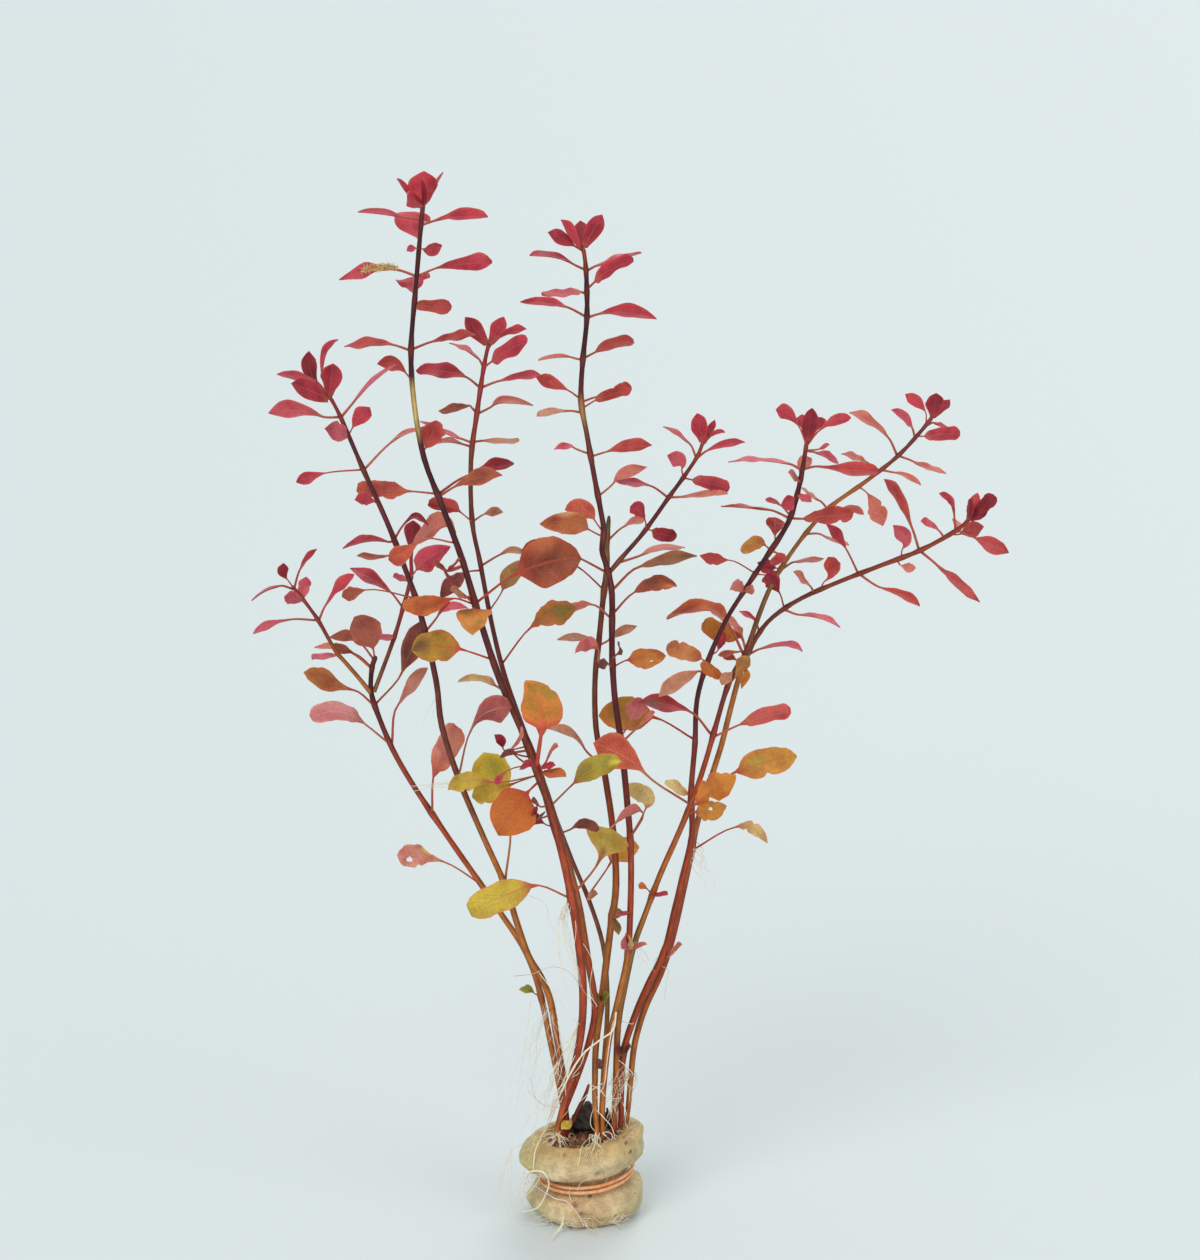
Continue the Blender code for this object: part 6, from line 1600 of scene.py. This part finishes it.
class Skin:
    """A material, with short ways to add the nodes that it is made of."""

    def __init__(self, name):
        self.material = bpy.data.materials.new(name)
        self.material.use_nodes = True
        self.tree = self.material.node_tree
        self.shader = self.tree.nodes["Principled BSDF"]

    def node(self, kind, sockets=None):
        """A new node, each of these sockets given a value of its own or joined to an output."""
        node = self.tree.nodes.new("ShaderNode" + kind)
        self.feed(node, sockets or {})
        return node

    def feed(self, node, sockets):
        for name, value in sockets.items():
            if isinstance(value, bpy.types.NodeSocket):
                self.tree.links.new(value, node.inputs[name])
            else:
                node.inputs[name].default_value = value

    def math(self, operation, first, second=0.0):
        node = self.node("Math", {0: first, 1: second})
        node.operation = operation
        return node.outputs[0]

    def limit(self, value):
        """The value, kept between 0 and 1."""
        return self.math("MINIMUM", self.math("MAXIMUM", value, 0.0), 1.0)

    def mix(self, share, first, second, blend="MIX"):
        node = self.node("Mix")
        node.data_type = "RGBA"
        node.blend_type = blend
        self.feed(node, {"Factor": share, 6: first, 7: second})
        return node.outputs[2]

    def attribute(self, name):
        node = self.node("VertexColor")
        node.layer_name = name
        return node.outputs["Color"]

    def place(self):
        """Where a point is on its stem or leaf: across it and along it."""
        node = self.node("UVMap")
        node.uv_map = "place"
        return node.outputs["UV"]

    def space(self):
        return self.node("TexCoord").outputs["Object"]

    def grain(self, scale, detail=3.0):
        """Noise in the object's own space, as a number."""
        noise_node = self.node("TexNoise", {"Scale": scale, "Detail": detail, "Vector": self.space()})
        return noise_node.outputs["Fac"]

    def ramp(self, value, stops):
        node = self.node("ValToRGB", {"Fac": value})
        for element, (position, level) in zip(node.color_ramp.elements, stops):
            element.position = position
            element.color = (level, level, level, 1.0)
        return node.outputs["Color"]

    def bump(self, height, strength, distance):
        node = self.node("Bump", {"Strength": strength, "Distance": distance, "Height": height})
        self.feed(self.shader, {"Normal": node.outputs["Normal"]})

    def soften(self, weight, radius, scale):
        """How much light goes into the surface, and how far it goes."""
        self.feed(self.shader, {"Subsurface Weight": weight, "Subsurface Radius": radius,
                                "Subsurface Scale": scale})


def leaf_material():
    """A thin waxy leaf: mottled, with a paler midrib and side veins that run forward to the edge."""
    skin = Skin("leaf_skin")
    place = skin.node("SeparateXYZ", {0: skin.place()})
    across = skin.math("ABSOLUTE", skin.math("SUBTRACT", place.outputs[0], 0.5))
    along = place.outputs[1]
    midrib = skin.limit(skin.math("MULTIPLY", skin.math("SUBTRACT", 0.035, across), 40.0))
    midrib = skin.math("MULTIPLY", midrib, skin.math("SUBTRACT", 1.15, along))
    course = skin.math("SUBTRACT", skin.math("MULTIPLY", along, 9.0), skin.math("MULTIPLY", across, 8.0))
    course = skin.math("ADD", course, skin.math("MULTIPLY", skin.grain(350.0), 0.7))
    wave = skin.math("PINGPONG", course, 0.5)
    veins = skin.limit(skin.math("MULTIPLY", skin.math("SUBTRACT", 0.09, wave), 11.0))
    inner = skin.limit(skin.math("MULTIPLY", skin.math("SUBTRACT", 0.48, across), 4.0))
    veins = skin.math("MULTIPLY", veins, inner)
    rib = skin.attribute("rib")
    speckle = skin.ramp(skin.grain(1500.0), ((0.30, 0.72), (0.62, 1.12)))
    tone = skin.mix(0.55, skin.attribute("tone"), speckle, "MULTIPLY")
    tone = skin.mix(skin.math("MULTIPLY", veins, 0.42), tone, rib)
    tone = skin.mix(skin.math("MULTIPLY", midrib, 0.85), tone, rib)
    height = skin.math("ADD", skin.math("MULTIPLY", veins, -0.8), skin.math("MULTIPLY", midrib, -1.0))
    height = skin.math("ADD", height, skin.math("MULTIPLY", skin.grain(900.0), 0.8))
    skin.bump(height, 0.55, 0.00012)
    gloss = skin.ramp(skin.grain(500.0), ((0.3, 0.38), (0.7, 0.54)))
    skin.feed(skin.shader, {"Base Color": tone, "Roughness": gloss, "Specular IOR Level": 0.22})
    skin.soften(0.35, (1.0, 0.45, 0.25), 0.0006)
    return skin.material


def stem_material():
    """A firm, slightly glossy stem with fine lengthwise streaks."""
    skin = Skin("stem_skin")
    stretch = skin.node("Mapping", {"Scale": (14.0, 0.35, 1.0), "Vector": skin.place()})
    streak = skin.node("TexNoise", {"Scale": 1.0, "Detail": 4.0, "Vector": stretch.outputs["Vector"]})
    streak = streak.outputs["Fac"]
    light = skin.ramp(streak, ((0.3, 0.60), (0.7, 1.35)))
    tone = skin.mix(0.8, skin.attribute("tone"), light, "MULTIPLY")
    blotch = skin.ramp(skin.grain(260.0), ((0.35, 0.75), (0.65, 1.15)))
    tone = skin.mix(0.7, tone, blotch, "MULTIPLY")
    skin.bump(streak, 0.5, 0.00012)
    skin.feed(skin.shader, {"Base Color": tone, "Roughness": 0.34, "Specular IOR Level": 0.18})
    skin.soften(0.15, (1.0, 0.4, 0.2), 0.0008)
    return skin.material


def foam_material():
    """Wet foam: cloudy and translucent, with small open pores."""
    skin = Skin("wet_foam")
    cells = skin.node("TexVoronoi", {"Scale": 1500.0, "Vector": skin.space()}).outputs["Distance"]
    pores = skin.ramp(cells, ((0.05, 0.66), (0.34, 1.0)))
    tone = skin.mix(0.7, skin.attribute("tone"), pores, "MULTIPLY")
    cloud = skin.ramp(skin.grain(420.0, 5.0), ((0.34, 0.74), (0.66, 1.12)))
    tone = skin.mix(0.9, tone, cloud, "MULTIPLY")
    specks = skin.ramp(skin.grain(1100.0, 2.0), ((0.68, 1.0), (0.74, 0.40)))
    tone = skin.mix(0.7, tone, specks, "MULTIPLY")
    height = skin.math("ADD", cells, skin.math("MULTIPLY", skin.grain(600.0, 4.0), 1.2))
    skin.bump(height, 0.6, 0.0004)
    gloss = skin.ramp(skin.grain(300.0), ((0.3, 0.26), (0.7, 0.50)))
    skin.feed(skin.shader, {"Base Color": tone, "Roughness": gloss})
    skin.soften(0.35, (1.0, 0.8, 0.5), 0.0012)
    return skin.material


def plain_material(name, roughness, grain_scale, contrast, relief, soft=0.0):
    """A coloured surface with fine grain in its colour and relief."""
    skin = Skin(name)
    shade = skin.ramp(skin.grain(grain_scale, 4.0), ((0.3, 1.0 - contrast), (0.7, 1.0 + contrast * 0.5)))
    tone = skin.mix(1.0, skin.attribute("tone"), shade, "MULTIPLY")
    skin.bump(skin.grain(grain_scale * 1.6, 4.0), 0.6, relief)
    skin.feed(skin.shader, {"Base Color": tone, "Roughness": roughness})
    skin.soften(soft, (1.0, 0.6, 0.35), 0.001)
    return skin.material


def add_sun(name, source, power, colour):
    """Broad, soft light from one side, the same all over the floor."""
    light = bpy.data.lights.new(name, "SUN")
    light.angle = SUN_ANGLE
    light.energy = power
    light.color = colour
    holder = bpy.data.objects.new(name, light)
    holder.rotation_euler = Vector(source).to_track_quat("Z", "Y").to_euler()
    bpy.context.scene.collection.objects.link(holder)


def build_stage():
    """A pale floor, soft light from above and both sides, and the camera."""
    scene = bpy.context.scene
    floor_mesh = bpy.data.meshes.new("floor")
    corners = [(-FLOOR_REACH, -FLOOR_REACH, 0), (FLOOR_REACH, -FLOOR_REACH, 0),
               (FLOOR_REACH, FLOOR_REACH, 0), (-FLOOR_REACH, FLOOR_REACH, 0)]
    floor_mesh.from_pydata(corners, [], [(0, 1, 2, 3)])
    floor = bpy.data.objects.new("floor", floor_mesh)
    skin = Skin("pale_floor")
    skin.feed(skin.shader, {"Base Color": FLOOR_COLOUR, "Roughness": 0.65})
    floor_mesh.materials.append(skin.material)
    scene.collection.objects.link(floor)

    world = bpy.data.worlds.new("studio")
    world.use_nodes = True
    backdrop = world.node_tree.nodes["Background"]
    backdrop.inputs["Color"].default_value = SKY_COLOUR
    backdrop.inputs["Strength"].default_value = SKY_STRENGTH
    scene.world = world
    scene.view_settings.view_transform = "Standard"
    for sun in SUNS:
        add_sun(*sun)

    camera = bpy.data.cameras.new("camera")
    camera.sensor_width = SENSOR
    camera.lens = FOCAL_PIXELS / PICTURE_HEIGHT * SENSOR
    camera.clip_start = 0.05
    camera.clip_end = 30.0
    holder = bpy.data.objects.new("camera", camera)
    holder.location = EYE
    holder.rotation_euler = (pi / 2 - VIEW_PITCH, 0.0, 0.0)
    scene.collection.objects.link(holder)
    scene.camera = holder


def main():
    leaf_skin = leaf_material()
    stem_skin = stem_material()
    root_skin = plain_material("root_skin", 0.5, 900.0, 0.18, 0.00005, 0.3)
    build_plug(foam_material())
    build_band(plain_material("band_rubber", 0.38, 1200.0, 0.22, 0.00008, 0.2))
    build_clump(plain_material("rotted_clump", 0.62, 1600.0, 0.6, 0.0003))
    build_shoots(stem_skin, leaf_skin)
    build_roots(root_skin)
    build_tuft(root_skin)
    build_crust(plain_material("root_crust", 0.75, 1300.0, 0.5, 0.0004), root_skin)
    build_stage()


main()
